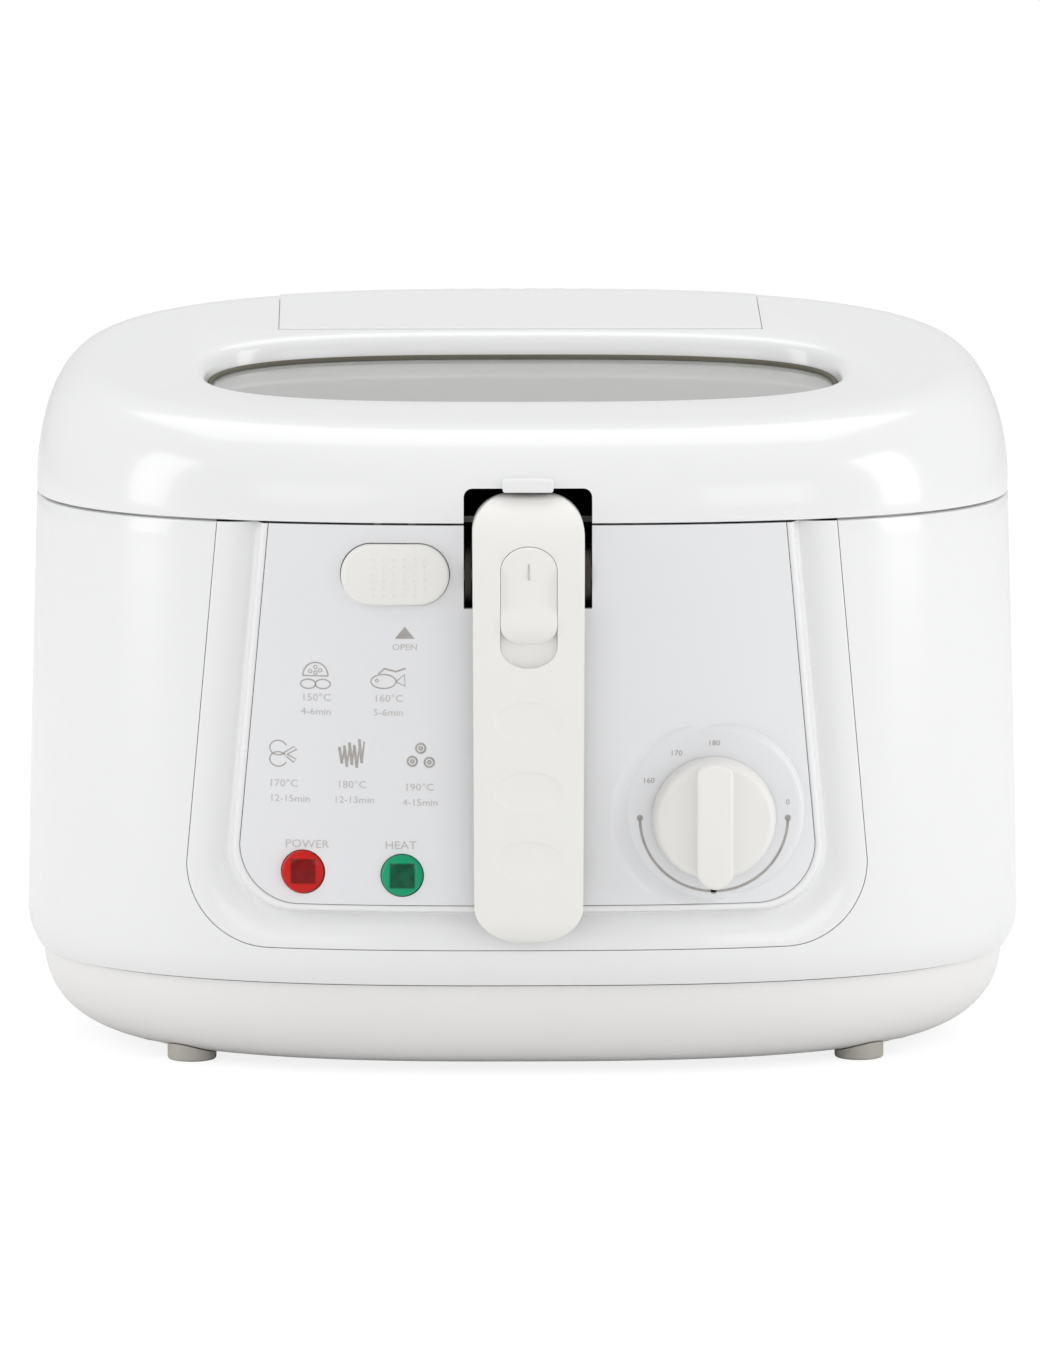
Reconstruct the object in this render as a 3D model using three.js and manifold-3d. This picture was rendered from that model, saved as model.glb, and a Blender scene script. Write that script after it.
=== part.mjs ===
// A countertop deep fryer with a drop-handle basket, a hinged lid and a thermostat.
// Millimetres, +Z up, the front faces -Y, and the group stands on z = 0.
import * as THREE from 'three';
import { mergeVertices } from 'three/addons/utils/BufferGeometryUtils.js';
import Module from 'manifold-3d';

const wasm = await Module();
wasm.setup();

// ---------------------------------------------------------------- driving sizes

const GAP = 0.3;              // clearance between pieces that touch
const WALL = 3;               // moulded wall
const PLAN_EXPONENT = 2.65;   // how square the oval footprint is
const DEPTH_LESS = 44;        // half width minus half depth of the footprint
const SHOULDER_EXPONENT = 2.35;  // how full the lid's shoulder is

const PARTING_Z = 192;        // the lid meets the housing here
const SEAM = 0.6;             // half the open line between them
const RIM_HALF = 171;         // half width at the parting line
const HOUSING_FOOT_Z = 33.4;  // lower edge of the housing

const PLATEAU = { halfX: 147, halfY: 98, frontZ: 225, backZ: 251.5 };
const WINDOW = { halfX: 111, halfY: 48, y: -18, exponent: 3, depth: 12 };

const SLOT_HALF = 21.9;       // opening for the handle, in the panel and the lid
const SLOT_FLOOR_Z = 163.3;
const NOTCH_TOP_Z = 204.3;

const PIVOT = { y: -118, z: 174.3, pin: 3 };
const GRIP = { half: 19, face: 28.2, back: 15.8, tip: 124, hub: 10 };
const PLATE = 1.5;            // steel of the handle's plates and the lift levers
const ARM = { inside: 19.4, lobe: 10.5, end: 4.6 };

// The handle's drive pin pushes the short ends of two levers down, and their long ends lift
// the basket. Angles are in degrees above +Y, seen from the right, with the handle hanging.
const DRIVE = { reach: 14, angle: -5, pin: 2.4 };
const LEVER = { inside: 22.5, apart: 26, line: -50, reach: 36, swing: 69.3, pin: 2.5 };

const HINGE = { y: 135, z: 193, knuckle: 6, pin: 2.5 };
const POT = { halfX: 118.5, halfY: 92.5, floorZ: 44, rimZ: 184.8, wall: 1.5 };
const POT_OVAL = { exponent: 2.8 };
const BASKET = { halfX: 104, halfY: 70, y: 13.5, floorZ: 54, rimZ: 124, wall: 2 };

const KNOB = { x: 63.6, z: 91, radius: 21.2, seatY: -126 };
const BUTTON = { x: -45.3, z: 175, halfX: 18.45, halfZ: 10.4, faceY: -129.5 };
const LENSES = [
  { name: 'power', x: -76.9, z: 72.5, radius: 7.3, y: -125.4, colour: 0xc8242b },
  { name: 'heat', x: -43, z: 71.8, radius: 7.15, y: -129.6, colour: 0x2e9b4f },
];

/** The step along Y and Z at some angle and distance. */
function polar(distance, degrees) {
  const angle = THREE.MathUtils.degToRad(degrees);
  return [distance * Math.cos(angle), distance * Math.sin(angle)];
}

const leverStep = polar(LEVER.apart, LEVER.line);
const LEVER_AT = [PIVOT.y + leverStep[0], PIVOT.z + leverStep[1]];
const liftStep = polar(LEVER.reach, -LEVER.swing / 2);
const LIFT_PIN_AT = [LEVER_AT[0] + liftStep[0], LEVER_AT[1] + liftStep[1]];

// ---------------------------------------------------------------- solids

/** Turns a closed three.js geometry into a solid that can be joined and cut. */
function solid(geometry) {
  const bare = geometry.clone();
  bare.deleteAttribute('normal');
  bare.deleteAttribute('uv');
  const welded = mergeVertices(bare);
  const points = welded.getAttribute('position');
  const corners = [new THREE.Vector3(), new THREE.Vector3(), new THREE.Vector3()];
  const triangles = [];
  let volume = 0;
  for (let i = 0; i < welded.index.count; i += 3) {
    const ids = [0, 1, 2].map((k) => welded.index.getX(i + k));
    if (new Set(ids).size < 3) continue;
    corners.forEach((corner, k) => corner.fromBufferAttribute(points, ids[k]));
    volume += corners[0].dot(corners[1].clone().cross(corners[2]));
    triangles.push(...ids);
  }
  if (volume < 0) triangles.reverse();
  return new wasm.Manifold(new wasm.Mesh({
    numProp: 3,
    vertProperties: new Float32Array(points.array),
    triVerts: new Uint32Array(triangles),
  }));
}

/** A box between two corners. */
function box(x0, x1, y0, y1, z0, z1) {
  const geometry = new THREE.BoxGeometry(x1 - x0, y1 - y0, z1 - z0);
  geometry.translate((x0 + x1) / 2, (y0 + y1) / 2, (z0 + z1) / 2);
  return solid(geometry);
}

/** A round bar along one axis, from one end to the other; centre holds the other two. */
function rod(axis, radius, from, to, centre, sides = 18) {
  const geometry = new THREE.CylinderGeometry(radius, radius, to - from, sides);
  const middle = (from + to) / 2;
  if (axis === 'x') geometry.rotateZ(Math.PI / 2).translate(middle, centre[0], centre[1]);
  if (axis === 'y') geometry.translate(centre[0], middle, centre[1]);
  if (axis === 'z') geometry.rotateX(Math.PI / 2).translate(centre[0], centre[1], middle);
  return solid(geometry);
}

/** A flat outline pushed along one axis: (y, z) along x, (x, z) along y, (x, y) along z. */
function prism(axis, shape, from, to, curveSegments = 8) {
  const depth = to - from;
  const geometry = new THREE.ExtrudeGeometry(shape, { depth, bevelEnabled: false, curveSegments });
  geometry.translate(0, 0, from);
  const turn = new THREE.Matrix4();
  if (axis === 'x') turn.set(0, 0, 1, 0, 1, 0, 0, 0, 0, 1, 0, 0, 0, 0, 0, 1);
  if (axis === 'y') turn.set(1, 0, 0, 0, 0, 0, 1, 0, 0, 1, 0, 0, 0, 0, 0, 1);
  return solid(geometry.applyMatrix4(turn));
}

/** A turned piece facing -Y: profile points are (radius, distance back from y). */
function turned(profile, x, y, z, sides = 24) {
  const points = profile.map(([radius, back]) => new THREE.Vector2(radius, back));
  return solid(new THREE.LatheGeometry(points, sides).translate(x, y, z));
}

/** A round wire along a curve. */
function wire(curve, radius, steps, sides = 4) {
  const section = new THREE.Shape().absarc(0, 0, radius, 0, 2 * Math.PI);
  return solid(new THREE.ExtrudeGeometry(section, {
    steps, extrudePath: curve, bevelEnabled: false, curveSegments: sides / 2,
  }));
}

/** A signed power, which makes a circle's cosine or sine into a squarer oval's. */
function soft(value, exponent) {
  return Math.sign(value) * Math.abs(value) ** (2 / exponent);
}

/** A closed solid through oval rings {a, b, z}, from the first ring to the last. */
function ovalLoft(rings, { y = 0, exponent = PLAN_EXPONENT, segments = 40 } = {}) {
  const last = rings.length - 1;
  const profile = [new THREE.Vector2(0, 0)];
  rings.forEach((ring, k) => profile.push(new THREE.Vector2(1, k)));
  profile.push(new THREE.Vector2(0, last));
  const geometry = new THREE.LatheGeometry(profile, segments);
  const points = geometry.getAttribute('position');
  for (let i = 0; i < points.count; i += 1) {
    const ring = rings[Math.round(points.getY(i))];
    const reach = Math.round(Math.hypot(points.getX(i), points.getZ(i)));
    const angle = Math.atan2(points.getX(i), points.getZ(i));
    const px = reach * ring.a * soft(Math.cos(angle), exponent);
    const py = y + reach * ring.b * soft(Math.sin(angle), exponent);
    const pz = typeof ring.z === 'function' ? ring.z(py) : ring.z;
    points.setXYZ(i, px, py, pz);
  }
  return solid(geometry);
}

/** An oval plate or block between two heights. */
function ovalBlock(a, b, z0, z1, options) {
  return ovalLoft([{ a, b, z: z0 }, { a, b, z: z1 }], options);
}

/** An oval band: a block less a smaller block through it. */
function ovalBand(a, b, thickness, z0, z1, options) {
  const hole = ovalBlock(a - thickness, b - thickness, z0 - 1, z1 + 1, options);
  return ovalBlock(a, b, z0, z1, options).subtract(hole);
}

// ---------------------------------------------------------------- the scene graph

const fryer = new THREE.Group();

const FINISHES = {
  whitePlastic: { color: 0xf1f1f2, roughness: 0.22, metalness: 0 },
  satinPlastic: { color: 0xefeeea, roughness: 0.4, metalness: 0 },
  blackPlastic: { color: 0x1c1a19, roughness: 0.5, metalness: 0 },
  steel: { color: 0xb9b8b5, roughness: 0.25, metalness: 1 },
  enamel: { color: 0x3a3b3d, roughness: 0.35, metalness: 0.2 },
  glass: { color: 0xc9cccd, roughness: 0.08, metalness: 0 },
  rubber: { color: 0x6e6c5d, roughness: 0.7, metalness: 0 },
  ceramic: { color: 0xe3ddcf, roughness: 0.6, metalness: 0 },
  charcoal: { color: 0x2a2a2a, roughness: 0.9, metalness: 0 },
};

/** Adds one named piece with a material of its own. */
function addPart(parent, name, body, finish) {
  const { vertProperties, triVerts } = body.getMesh();
  const geometry = new THREE.BufferGeometry();
  geometry.setAttribute('position', new THREE.BufferAttribute(vertProperties, 3));
  geometry.setIndex(new THREE.BufferAttribute(triVerts, 1));
  geometry.computeVertexNormals();
  const mesh = new THREE.Mesh(geometry, new THREE.MeshStandardMaterial(finish));
  mesh.name = name;
  parent.add(mesh);
}

/** A nested group at a place of its own. */
function addGroup(parent, x, y, z) {
  const nested = new THREE.Group();
  nested.position.set(x, y, z);
  parent.add(nested);
  return nested;
}

// ---------------------------------------------------------------- main forms

/** The housing's outer form, inset by some amount, with its ends moved out for cuts. */
function housingForm(inset, overrun = 0) {
  const halfWidths = [[171.5, HOUSING_FOOT_Z], [173.3, 36], [175, 45], [174.8, 60], [173, 120],
    [RIM_HALF, PARTING_Z - SEAM]];
  const rings = halfWidths.map(([half, z]) => ({ a: half - inset, b: half - DEPTH_LESS - inset, z }));
  rings[0].z -= overrun;
  rings[rings.length - 1].z += overrun;
  return ovalLoft(rings);
}

/** The bowl of the base tray, inset by some amount. */
function baseForm(inset, overrun = 0) {
  const [flatX, flatY, rimX, rimY] = [131, 98, 169.5, 125.5];
  const [flatZ, rimZ, exponent, steps] = [2.6, 32.8, 2.3, 5];
  const rings = [];
  for (let k = 0; k <= steps; k += 1) {
    const angle = (k / steps) * (Math.PI / 2);
    const out = soft(Math.sin(angle), exponent);
    const up = 1 - soft(Math.cos(angle), exponent);
    rings.push({
      a: flatX + (rimX - flatX) * out - inset,
      b: flatY + (rimY - flatY) * out - inset,
      z: flatZ + (rimZ - flatZ) * up + inset,
    });
  }
  rings[steps].z += overrun;
  return ovalLoft(rings);
}

/** Height of the lid's sloping top. */
function plateauZ(y) {
  const slope = (PLATEAU.backZ - PLATEAU.frontZ) / (2 * PLATEAU.halfY);
  return PLATEAU.frontZ + slope * (y + PLATEAU.halfY);
}

/** The lid's outer form, inset by some amount, down to a given height. */
function lidForm(inset, bottomZ) {
  const steps = 6;
  const rimY = RIM_HALF - DEPTH_LESS;
  const rings = [{ a: RIM_HALF - inset, b: rimY - inset, z: bottomZ }];
  for (let k = 0; k <= steps; k += 1) {
    const angle = (k / steps) * (Math.PI / 2);
    const out = soft(Math.cos(angle), SHOULDER_EXPONENT);
    const up = soft(Math.sin(angle), SHOULDER_EXPONENT);
    const foot = PARTING_Z + SEAM;
    rings.push({
      a: PLATEAU.halfX + (RIM_HALF - PLATEAU.halfX) * out - inset,
      b: PLATEAU.halfY + (rimY - PLATEAU.halfY) * out - inset,
      z: (y) => foot + 0.1 + up * (plateauZ(y) - foot - 0.1 - inset),
    });
  }
  return ovalLoft(rings);
}

/** An oval prism that follows the lid's slope, between two depths below its top. */
function slopedOval(a, b, deep, shallow, options) {
  const rings = [
    { a, b, z: (y) => plateauZ(y) - deep },
    { a, b, z: (y) => plateauZ(y) - shallow },
  ];
  return ovalLoft(rings, options);
}

/** A rectangle on the lid's slope, between two depths below its top. */
function slopedBox(halfX, y0, y1, deep, shallow) {
  const side = new THREE.Shape([
    new THREE.Vector2(y0, plateauZ(y0) - deep),
    new THREE.Vector2(y1, plateauZ(y1) - deep),
    new THREE.Vector2(y1, plateauZ(y1) - shallow),
    new THREE.Vector2(y0, plateauZ(y0) - shallow),
  ]);
  return prism('x', side, -halfX, halfX);
}

/** The front's flared outline, grown by some amount, as a block right through the front. */
function frontBlock({ topHalf, floorZ, corner }, grow) {
  const flare = 9.5 / 103;
  const topZ = PARTING_Z + 8;
  const bendZ = floorZ + corner;
  const halfAt = (z) => topHalf + grow + (PARTING_Z - z) * flare;
  const radius = corner + grow;
  const centreX = halfAt(bendZ) - radius;
  const shape = new THREE.Shape();
  shape.moveTo(-halfAt(topZ), topZ);
  shape.lineTo(-halfAt(bendZ), bendZ);
  shape.absarc(-centreX, bendZ, radius, Math.PI, 1.5 * Math.PI, false);
  shape.absarc(centreX, bendZ, radius, 1.5 * Math.PI, 2 * Math.PI, false);
  shape.lineTo(halfAt(topZ), topZ);
  return prism('y', shape, -160, -60);
}

const BEZEL_OUTLINE = { topHalf: 106, floorZ: 46, corner: 28 };
const PANEL_OUTLINE = { topHalf: 88.3, floorZ: 61.5, corner: 20 };

/** A slot with round ends, along X, pushed along Y. */
function stadium(x, z, halfX, halfZ, y0, y1) {
  const straight = halfX - halfZ;
  const shape = new THREE.Shape();
  shape.absarc(x + straight, z, halfZ, -Math.PI / 2, Math.PI / 2, false);
  shape.absarc(x - straight, z, halfZ, Math.PI / 2, 1.5 * Math.PI, false);
  return prism('y', shape, y0, y1, 10);
}

// ---------------------------------------------------------------- housing, panel, base

const SCREW = { x: 128, y: 70, shank: 2.1, head: 4.3, headZ: 23.5, tipZ: 60 };
const SIDES = [-1, 1];

function addHousing() {
  let housing = housingForm(0).subtract(housingForm(WALL, 5));
  const earInside = 62;
  const earOutside = 76;
  for (const side of SIDES) {
    const [x0, x1] = side > 0 ? [earInside, earOutside] : [-earOutside, -earInside];
    const foot = new THREE.Shape([
      new THREE.Vector2(118, 160),
      new THREE.Vector2(HINGE.y + HINGE.knuckle, HINGE.z),
      new THREE.Vector2(HINGE.y - HINGE.knuckle, HINGE.z),
      new THREE.Vector2(128.4, 190.8),
      new THREE.Vector2(118, 190.8),
    ]);
    const ear = prism('x', foot, x0, x1).subtract(housingForm(WALL, 5));
    housing = housing.add(ear).add(rod('x', HINGE.knuckle, x0, x1, [HINGE.y, HINGE.z]));
    for (const end of SIDES) {
      const [cx, cy] = [side * SCREW.x, end * SCREW.y];
      const post = rod('z', 6, 40, 70, [cx, cy]);
      const web = box(cx - 3, cx + 3, Math.min(cy, cy + end * 45), Math.max(cy, cy + end * 45), 40, 70);
      housing = housing.add(post.add(web).intersect(housingForm(WALL / 2)));
      housing = housing.subtract(rod('z', SCREW.shank + GAP, 30, SCREW.tipZ + 1, [cx, cy]));
    }
  }
  housing = housing.subtract(rod('x', HINGE.pin + GAP, -90, 90, [HINGE.y, HINGE.z]));
  housing = housing.subtract(rod('y', 7.3, 100, 150, [70, 58]));
  housing = housing.subtract(frontBlock(BEZEL_OUTLINE, GAP));
  addPart(fryer, 'outer_housing', housing, FINISHES.whitePlastic);
}

function addBezel() {
  const channelDepth = 3.5;
  const back = 6;
  const lip = 1.8;
  const full = housingForm(0).subtract(housingForm(back, 5));
  const floor = housingForm(channelDepth).subtract(housingForm(back, 5));
  const outside = frontBlock(BEZEL_OUTLINE, 0);
  const inside = frontBlock(PANEL_OUTLINE, GAP);
  const outerLip = full.intersect(outside.subtract(frontBlock(BEZEL_OUTLINE, -lip)));
  const innerLip = full.intersect(frontBlock(PANEL_OUTLINE, GAP + lip).subtract(inside));
  const bezel = floor.intersect(outside.subtract(inside)).add(outerLip).add(innerLip);
  addPart(fryer, 'front_bezel', bezel, FINISHES.whitePlastic);
}

function addPanel() {
  const seat = { x: 64.5, z: 93.5, radius: 30.5 };
  let panel = housingForm(0).subtract(housingForm(WALL, 5)).intersect(frontBlock(PANEL_OUTLINE, 0));
  panel = panel.add(rod('y', seat.radius, KNOB.seatY, -117, [seat.x, seat.z], 32));
  panel = panel.subtract(rod('y', seat.radius, -140, KNOB.seatY, [seat.x, seat.z], 32));
  panel = panel.subtract(rod('y', 4, -140, -100, [KNOB.x, KNOB.z]));
  for (const lens of LENSES) {
    panel = panel.subtract(rod('y', lens.radius + GAP, -140, -100, [lens.x, lens.z], 24));
  }
  const { x, z, halfX, halfZ } = BUTTON;
  panel = panel.subtract(stadium(x, z, halfX + GAP, halfZ + GAP, -140, -100));
  panel = panel.subtract(box(-SLOT_HALF, SLOT_HALF, -140, -100, SLOT_FLOOR_Z, 210));
  addPart(fryer, 'front_panel', panel, FINISHES.whitePlastic);
}

function addBase() {
  const rib = 2.6;
  let tray = baseForm(0).subtract(baseForm(rib, 5));
  const feet = [];
  for (const side of SIDES) {
    for (const end of SIDES) {
      const at = [side * SCREW.x, end * SCREW.y];
      const boss = rod('z', 8, 5, 37, at, 12).intersect(baseForm(0, 5));
      tray = tray.add(boss);
      tray = tray.subtract(rod('z', SCREW.head + GAP, 0, SCREW.headZ + 3.5, at, 12));
      tray = tray.subtract(rod('z', SCREW.shank + GAP, 0, 50, at, 8));
      feet.push([side * 116, end * 78]);
    }
  }
  const footRadius = 8.5;
  const spigot = 3;
  feet.forEach(([x, y], k) => {
    tray = tray.subtract(rod('z', spigot + GAP, -1, 30, [x, y], 12));
    const pad = rod('z', footRadius, 0, 14, [x, y]).subtract(baseForm(-GAP));
    const foot = pad.add(rod('z', spigot, 0.5, 14, [x, y]));
    addPart(fryer, `foot_${k + 1}`, foot, FINISHES.rubber);
  });
  for (const side of SIDES) {
    for (const end of SIDES) {
      tray = tray.add(rod('z', 5, 4, 29.6, [side * 80, end * 55], 12));
    }
  }
  addPart(fryer, 'base_tray', tray, FINISHES.whitePlastic);
}

function addBaseScrews() {
  let number = 1;
  for (const side of SIDES) {
    for (const end of SIDES) {
      const at = [side * SCREW.x, end * SCREW.y];
      const head = rod('z', SCREW.head, SCREW.headZ, SCREW.headZ + 3.2, at, 16);
      const screw = head.add(rod('z', SCREW.shank, SCREW.headZ + 1, SCREW.tipZ, at, 12));
      addPart(fryer, `base_screw_${number}`, screw, FINISHES.steel);
      number += 1;
    }
  }
}

/** The deck between the housing and the pot, open where the handle and the latch pass. */
function addDeck() {
  const deckTop = POT.rimZ - GAP;
  let deck = ovalBlock(167.6, 123.6, deckTop - 4, deckTop);
  deck = deck.add(ovalBand(167.6, 123.6, 2.5, deckTop - 14, deckTop));
  deck = deck.subtract(ovalBlock(POT.halfX + 0.5, POT.halfY + 0.5, 100, 210, POT_OVAL));
  deck = deck.subtract(box(-28.5, 28.5, -140, -60, 100, 210));
  deck = deck.subtract(box(BUTTON.x - 9.5, -26, -140, -98, 100, 210));
  deck = deck.intersect(housingForm(WALL + 0.4, 5));
  const clear = frontBlock(BEZEL_OUTLINE, 1).subtract(housingForm(6.4, 5));
  addPart(fryer, 'upper_deck', deck.subtract(clear), FINISHES.satinPlastic);
}

/** The dark channel behind the slot, whose cheeks carry the handle's and levers' pins. */
function addSlotLiner() {
  const outside = 26.8;
  const inside = 24.4;
  const [front, back, floorBack] = [-123.2, -93, -104];
  const [bottomZ, topZ] = [142.6, 190];
  let liner = box(-outside, outside, front, back, bottomZ, topZ);
  liner = liner.subtract(box(-inside, inside, -140, -80, bottomZ + 2.2, 200));
  liner = liner.subtract(box(-inside, inside, floorBack, -80, 130, 200));
  liner = liner.subtract(rod('x', PIVOT.pin + GAP, -40, 40, [PIVOT.y, PIVOT.z]));
  liner = liner.subtract(rod('x', LEVER.pin + GAP, -40, 40, LEVER_AT));
  addPart(fryer, 'slot_liner', liner, FINISHES.blackPlastic);
  const pinHalf = outside - 0.3;
  const pin = rod('x', PIVOT.pin, -pinHalf, pinHalf, [PIVOT.y, PIVOT.z]);
  addPart(fryer, 'pivot_pin', pin, FINISHES.steel);
  addPart(fryer, 'lever_pin', rod('x', LEVER.pin, -pinHalf, pinHalf, LEVER_AT), FINISHES.steel);
}

// ---------------------------------------------------------------- pot, heater, electrics

const HEATER = { halfX: 85, halfY: 62, z: 39.4, radius: 4 };

function addPot() {
  const { halfX, halfY, floorZ, rimZ, wall } = POT;
  const bend = 9;
  const outer = ovalLoft([
    { a: halfX - bend, b: halfY - bend, z: floorZ },
    { a: halfX - bend * 0.3, b: halfY - bend * 0.3, z: floorZ + bend * 0.3 },
    { a: halfX, b: halfY, z: floorZ + bend },
    { a: halfX, b: halfY, z: rimZ + wall },
  ], POT_OVAL);
  const inner = ovalLoft([
    { a: halfX - bend - wall, b: halfY - bend - wall, z: floorZ + wall },
    { a: halfX - bend * 0.3 - wall, b: halfY - bend * 0.3 - wall, z: floorZ + wall + bend * 0.3 },
    { a: halfX - wall, b: halfY - wall, z: floorZ + wall + bend },
    { a: halfX - wall, b: halfY - wall, z: rimZ + 20 },
  ], POT_OVAL);
  const flange = ovalBlock(halfX + 6.5, halfY + 6.5, rimZ, rimZ + wall, POT_OVAL);
  let pot = outer.add(flange).subtract(inner);
  pot = pot.subtract(box(-28.5, 28.5, -140, -60, 130, 210));
  addPart(fryer, 'oil_pot', pot, FINISHES.enamel);
}

function addHeater() {
  const points = [];
  const start = 0.09 * Math.PI;
  const steps = 36;
  for (let k = 0; k <= steps; k += 1) {
    const angle = -Math.PI / 2 + start + (k / steps) * (2 * Math.PI - 2 * start);
    const x = HEATER.halfX * soft(Math.cos(angle), PLAN_EXPONENT);
    const y = HEATER.halfY * soft(Math.sin(angle), PLAN_EXPONENT);
    points.push(new THREE.Vector3(x, y, HEATER.z));
  }
  const ring = wire(new THREE.CatmullRomCurve3(points), HEATER.radius, 40, 6);
  addPart(fryer, 'heater_ring', ring, FINISHES.steel);

  const [halfX, halfY, thin] = [126, 98, 1];
  const bucket = ovalBlock(halfX, halfY, 30, 128);
  let shield = bucket.subtract(ovalBlock(halfX - thin, halfY - thin, 30 + thin, 140));
  shield = shield.subtract(rod('z', 14, 20, 40, [0, 0]));
  addPart(fryer, 'heat_shield', shield, FINISHES.steel);
}

function addElectrics() {
  const cutout = rod('z', 8, 38.5, POT.floorZ - GAP, [-40, 20]).add(box(-50, -30, 15, 25, 34, 39));
  addPart(fryer, 'thermal_cutout', cutout, FINISHES.ceramic);

  const body = box(KNOB.x - 17, KNOB.x + 17, -111, -98.5, KNOB.z - 15, KNOB.z + 15);
  addPart(fryer, 'thermostat_body', body, FINISHES.ceramic);

  const bulbZ = POT.floorZ - GAP - 3;
  const route = new THREE.CatmullRomCurve3([
    new THREE.Vector3(KNOB.x, -106.5, KNOB.z - 15.6),
    new THREE.Vector3(KNOB.x, -106.5, 60),
    new THREE.Vector3(KNOB.x + 4, -102, 27),
    new THREE.Vector3(KNOB.x - 20, -60, 26.4),
    new THREE.Vector3(8, 8, 26.4),
    new THREE.Vector3(2, 2, bulbZ - 6),
    new THREE.Vector3(0, -14, bulbZ),
    new THREE.Vector3(0, -24, bulbZ),
  ]);
  const sensor = wire(route, 1, 40).add(rod('y', 3, -50, -22, [0, bulbZ], 12));
  addPart(fryer, 'thermostat_sensor', sensor, FINISHES.steel);

  const block = box(48, 92, 101, 113, 40, 56).subtract(box(52, 88, 99, 104, 46, 60));
  addPart(fryer, 'terminal_block', block, FINISHES.ceramic);

  const gland = rod('y', 9, 128.4, 133, [70, 58]).add(rod('y', 7, 117, 130, [70, 58]));
  addPart(fryer, 'cord_gland', gland.subtract(rod('y', 3.6, 100, 150, [70, 58])), FINISHES.blackPlastic);

  for (const lens of LENSES) {
    const { name, x, z, radius, y, colour } = lens;
    const dome = turned([[0, -1.4], [radius * 0.6, -1], [radius, 0.4], [radius, 7], [0, 7]], x, y, z);
    addPart(fryer, `${name}_lens`, dome, { color: colour, roughness: 0.15, metalness: 0 });
    const lamp = box(x - 3.5, x + 3.5, -117, -109.8, z - 3.5, z + 3.5).add(rod('y', 2, -112, -102, [x, z]));
    addPart(fryer, `${name}_lamp`, lamp, FINISHES.ceramic);
  }
}

// ---------------------------------------------------------------- open button and latch

const LATCH = { y: -112.5, z: 158, topZ: 194.6, nose: -118.6, half: 4 };
const SPRING_BELOW = 10;      // the latch spring's centre, below the middle of the button

function addLatch() {
  const { x, z, halfX, halfZ, faceY } = BUTTON;
  const plate = faceY + 6.5;
  const cap = stadium(x, z, halfX, halfZ, faceY, plate);
  const stem = box(x - 4, x + 4, plate - 1, -115.6, z - 2.5, z + 2.5);
  addPart(fryer, 'open_button', cap.add(stem), FINISHES.satinPlastic);

  const side = new THREE.Shape([
    new THREE.Vector2(-115.2, 154), new THREE.Vector2(-109.8, 154),
    new THREE.Vector2(-109.8, LATCH.topZ), new THREE.Vector2(-114, LATCH.topZ),
    new THREE.Vector2(LATCH.nose, 191.4), new THREE.Vector2(LATCH.nose, 189.6),
    new THREE.Vector2(-115.2, 189.6),
  ]);
  let lever = prism('x', side, x - LATCH.half, x + LATCH.half);
  lever = lever.subtract(rod('x', 1.9, x - 10, x + 10, [LATCH.y, LATCH.z], 16));
  addPart(fryer, 'latch_lever', lever, FINISHES.blackPlastic);

  let bracket = box(x - 8.4, x + 8.4, -117, -101, 150, 176);
  bracket = bracket.subtract(box(x - 6, x + 6, -120, -102.6, 140, 180));
  bracket = bracket.add(rod('x', 1.6, x - 8, x + 8, [LATCH.y, LATCH.z], 16));
  addPart(fryer, 'latch_bracket', bracket, FINISHES.steel);

  const coil = helix('y', 2.6, 3, 0.95, [x, z - SPRING_BELOW], -106.3);
  addPart(fryer, 'latch_spring', wire(coil, 0.4, 32), FINISHES.steel);
}

/** A coil spring's centre line along one axis. */
function helix(axis, radius, turns, pitch, centre, from) {
  const points = [];
  const perTurn = 9;
  for (let k = 0; k <= turns * perTurn; k += 1) {
    const angle = (k / perTurn) * 2 * Math.PI;
    const along = from + (k / perTurn) * pitch;
    const across = radius * Math.cos(angle);
    const up = radius * Math.sin(angle);
    if (axis === 'x') points.push(new THREE.Vector3(along, centre[0] + across, centre[1] + up));
    if (axis === 'y') points.push(new THREE.Vector3(centre[0] + across, along, centre[1] + up));
    if (axis === 'z') points.push(new THREE.Vector3(centre[0] + across, centre[1] + up, along));
  }
  return new THREE.CatmullRomCurve3(points);
}

// ---------------------------------------------------------------- lid

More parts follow.
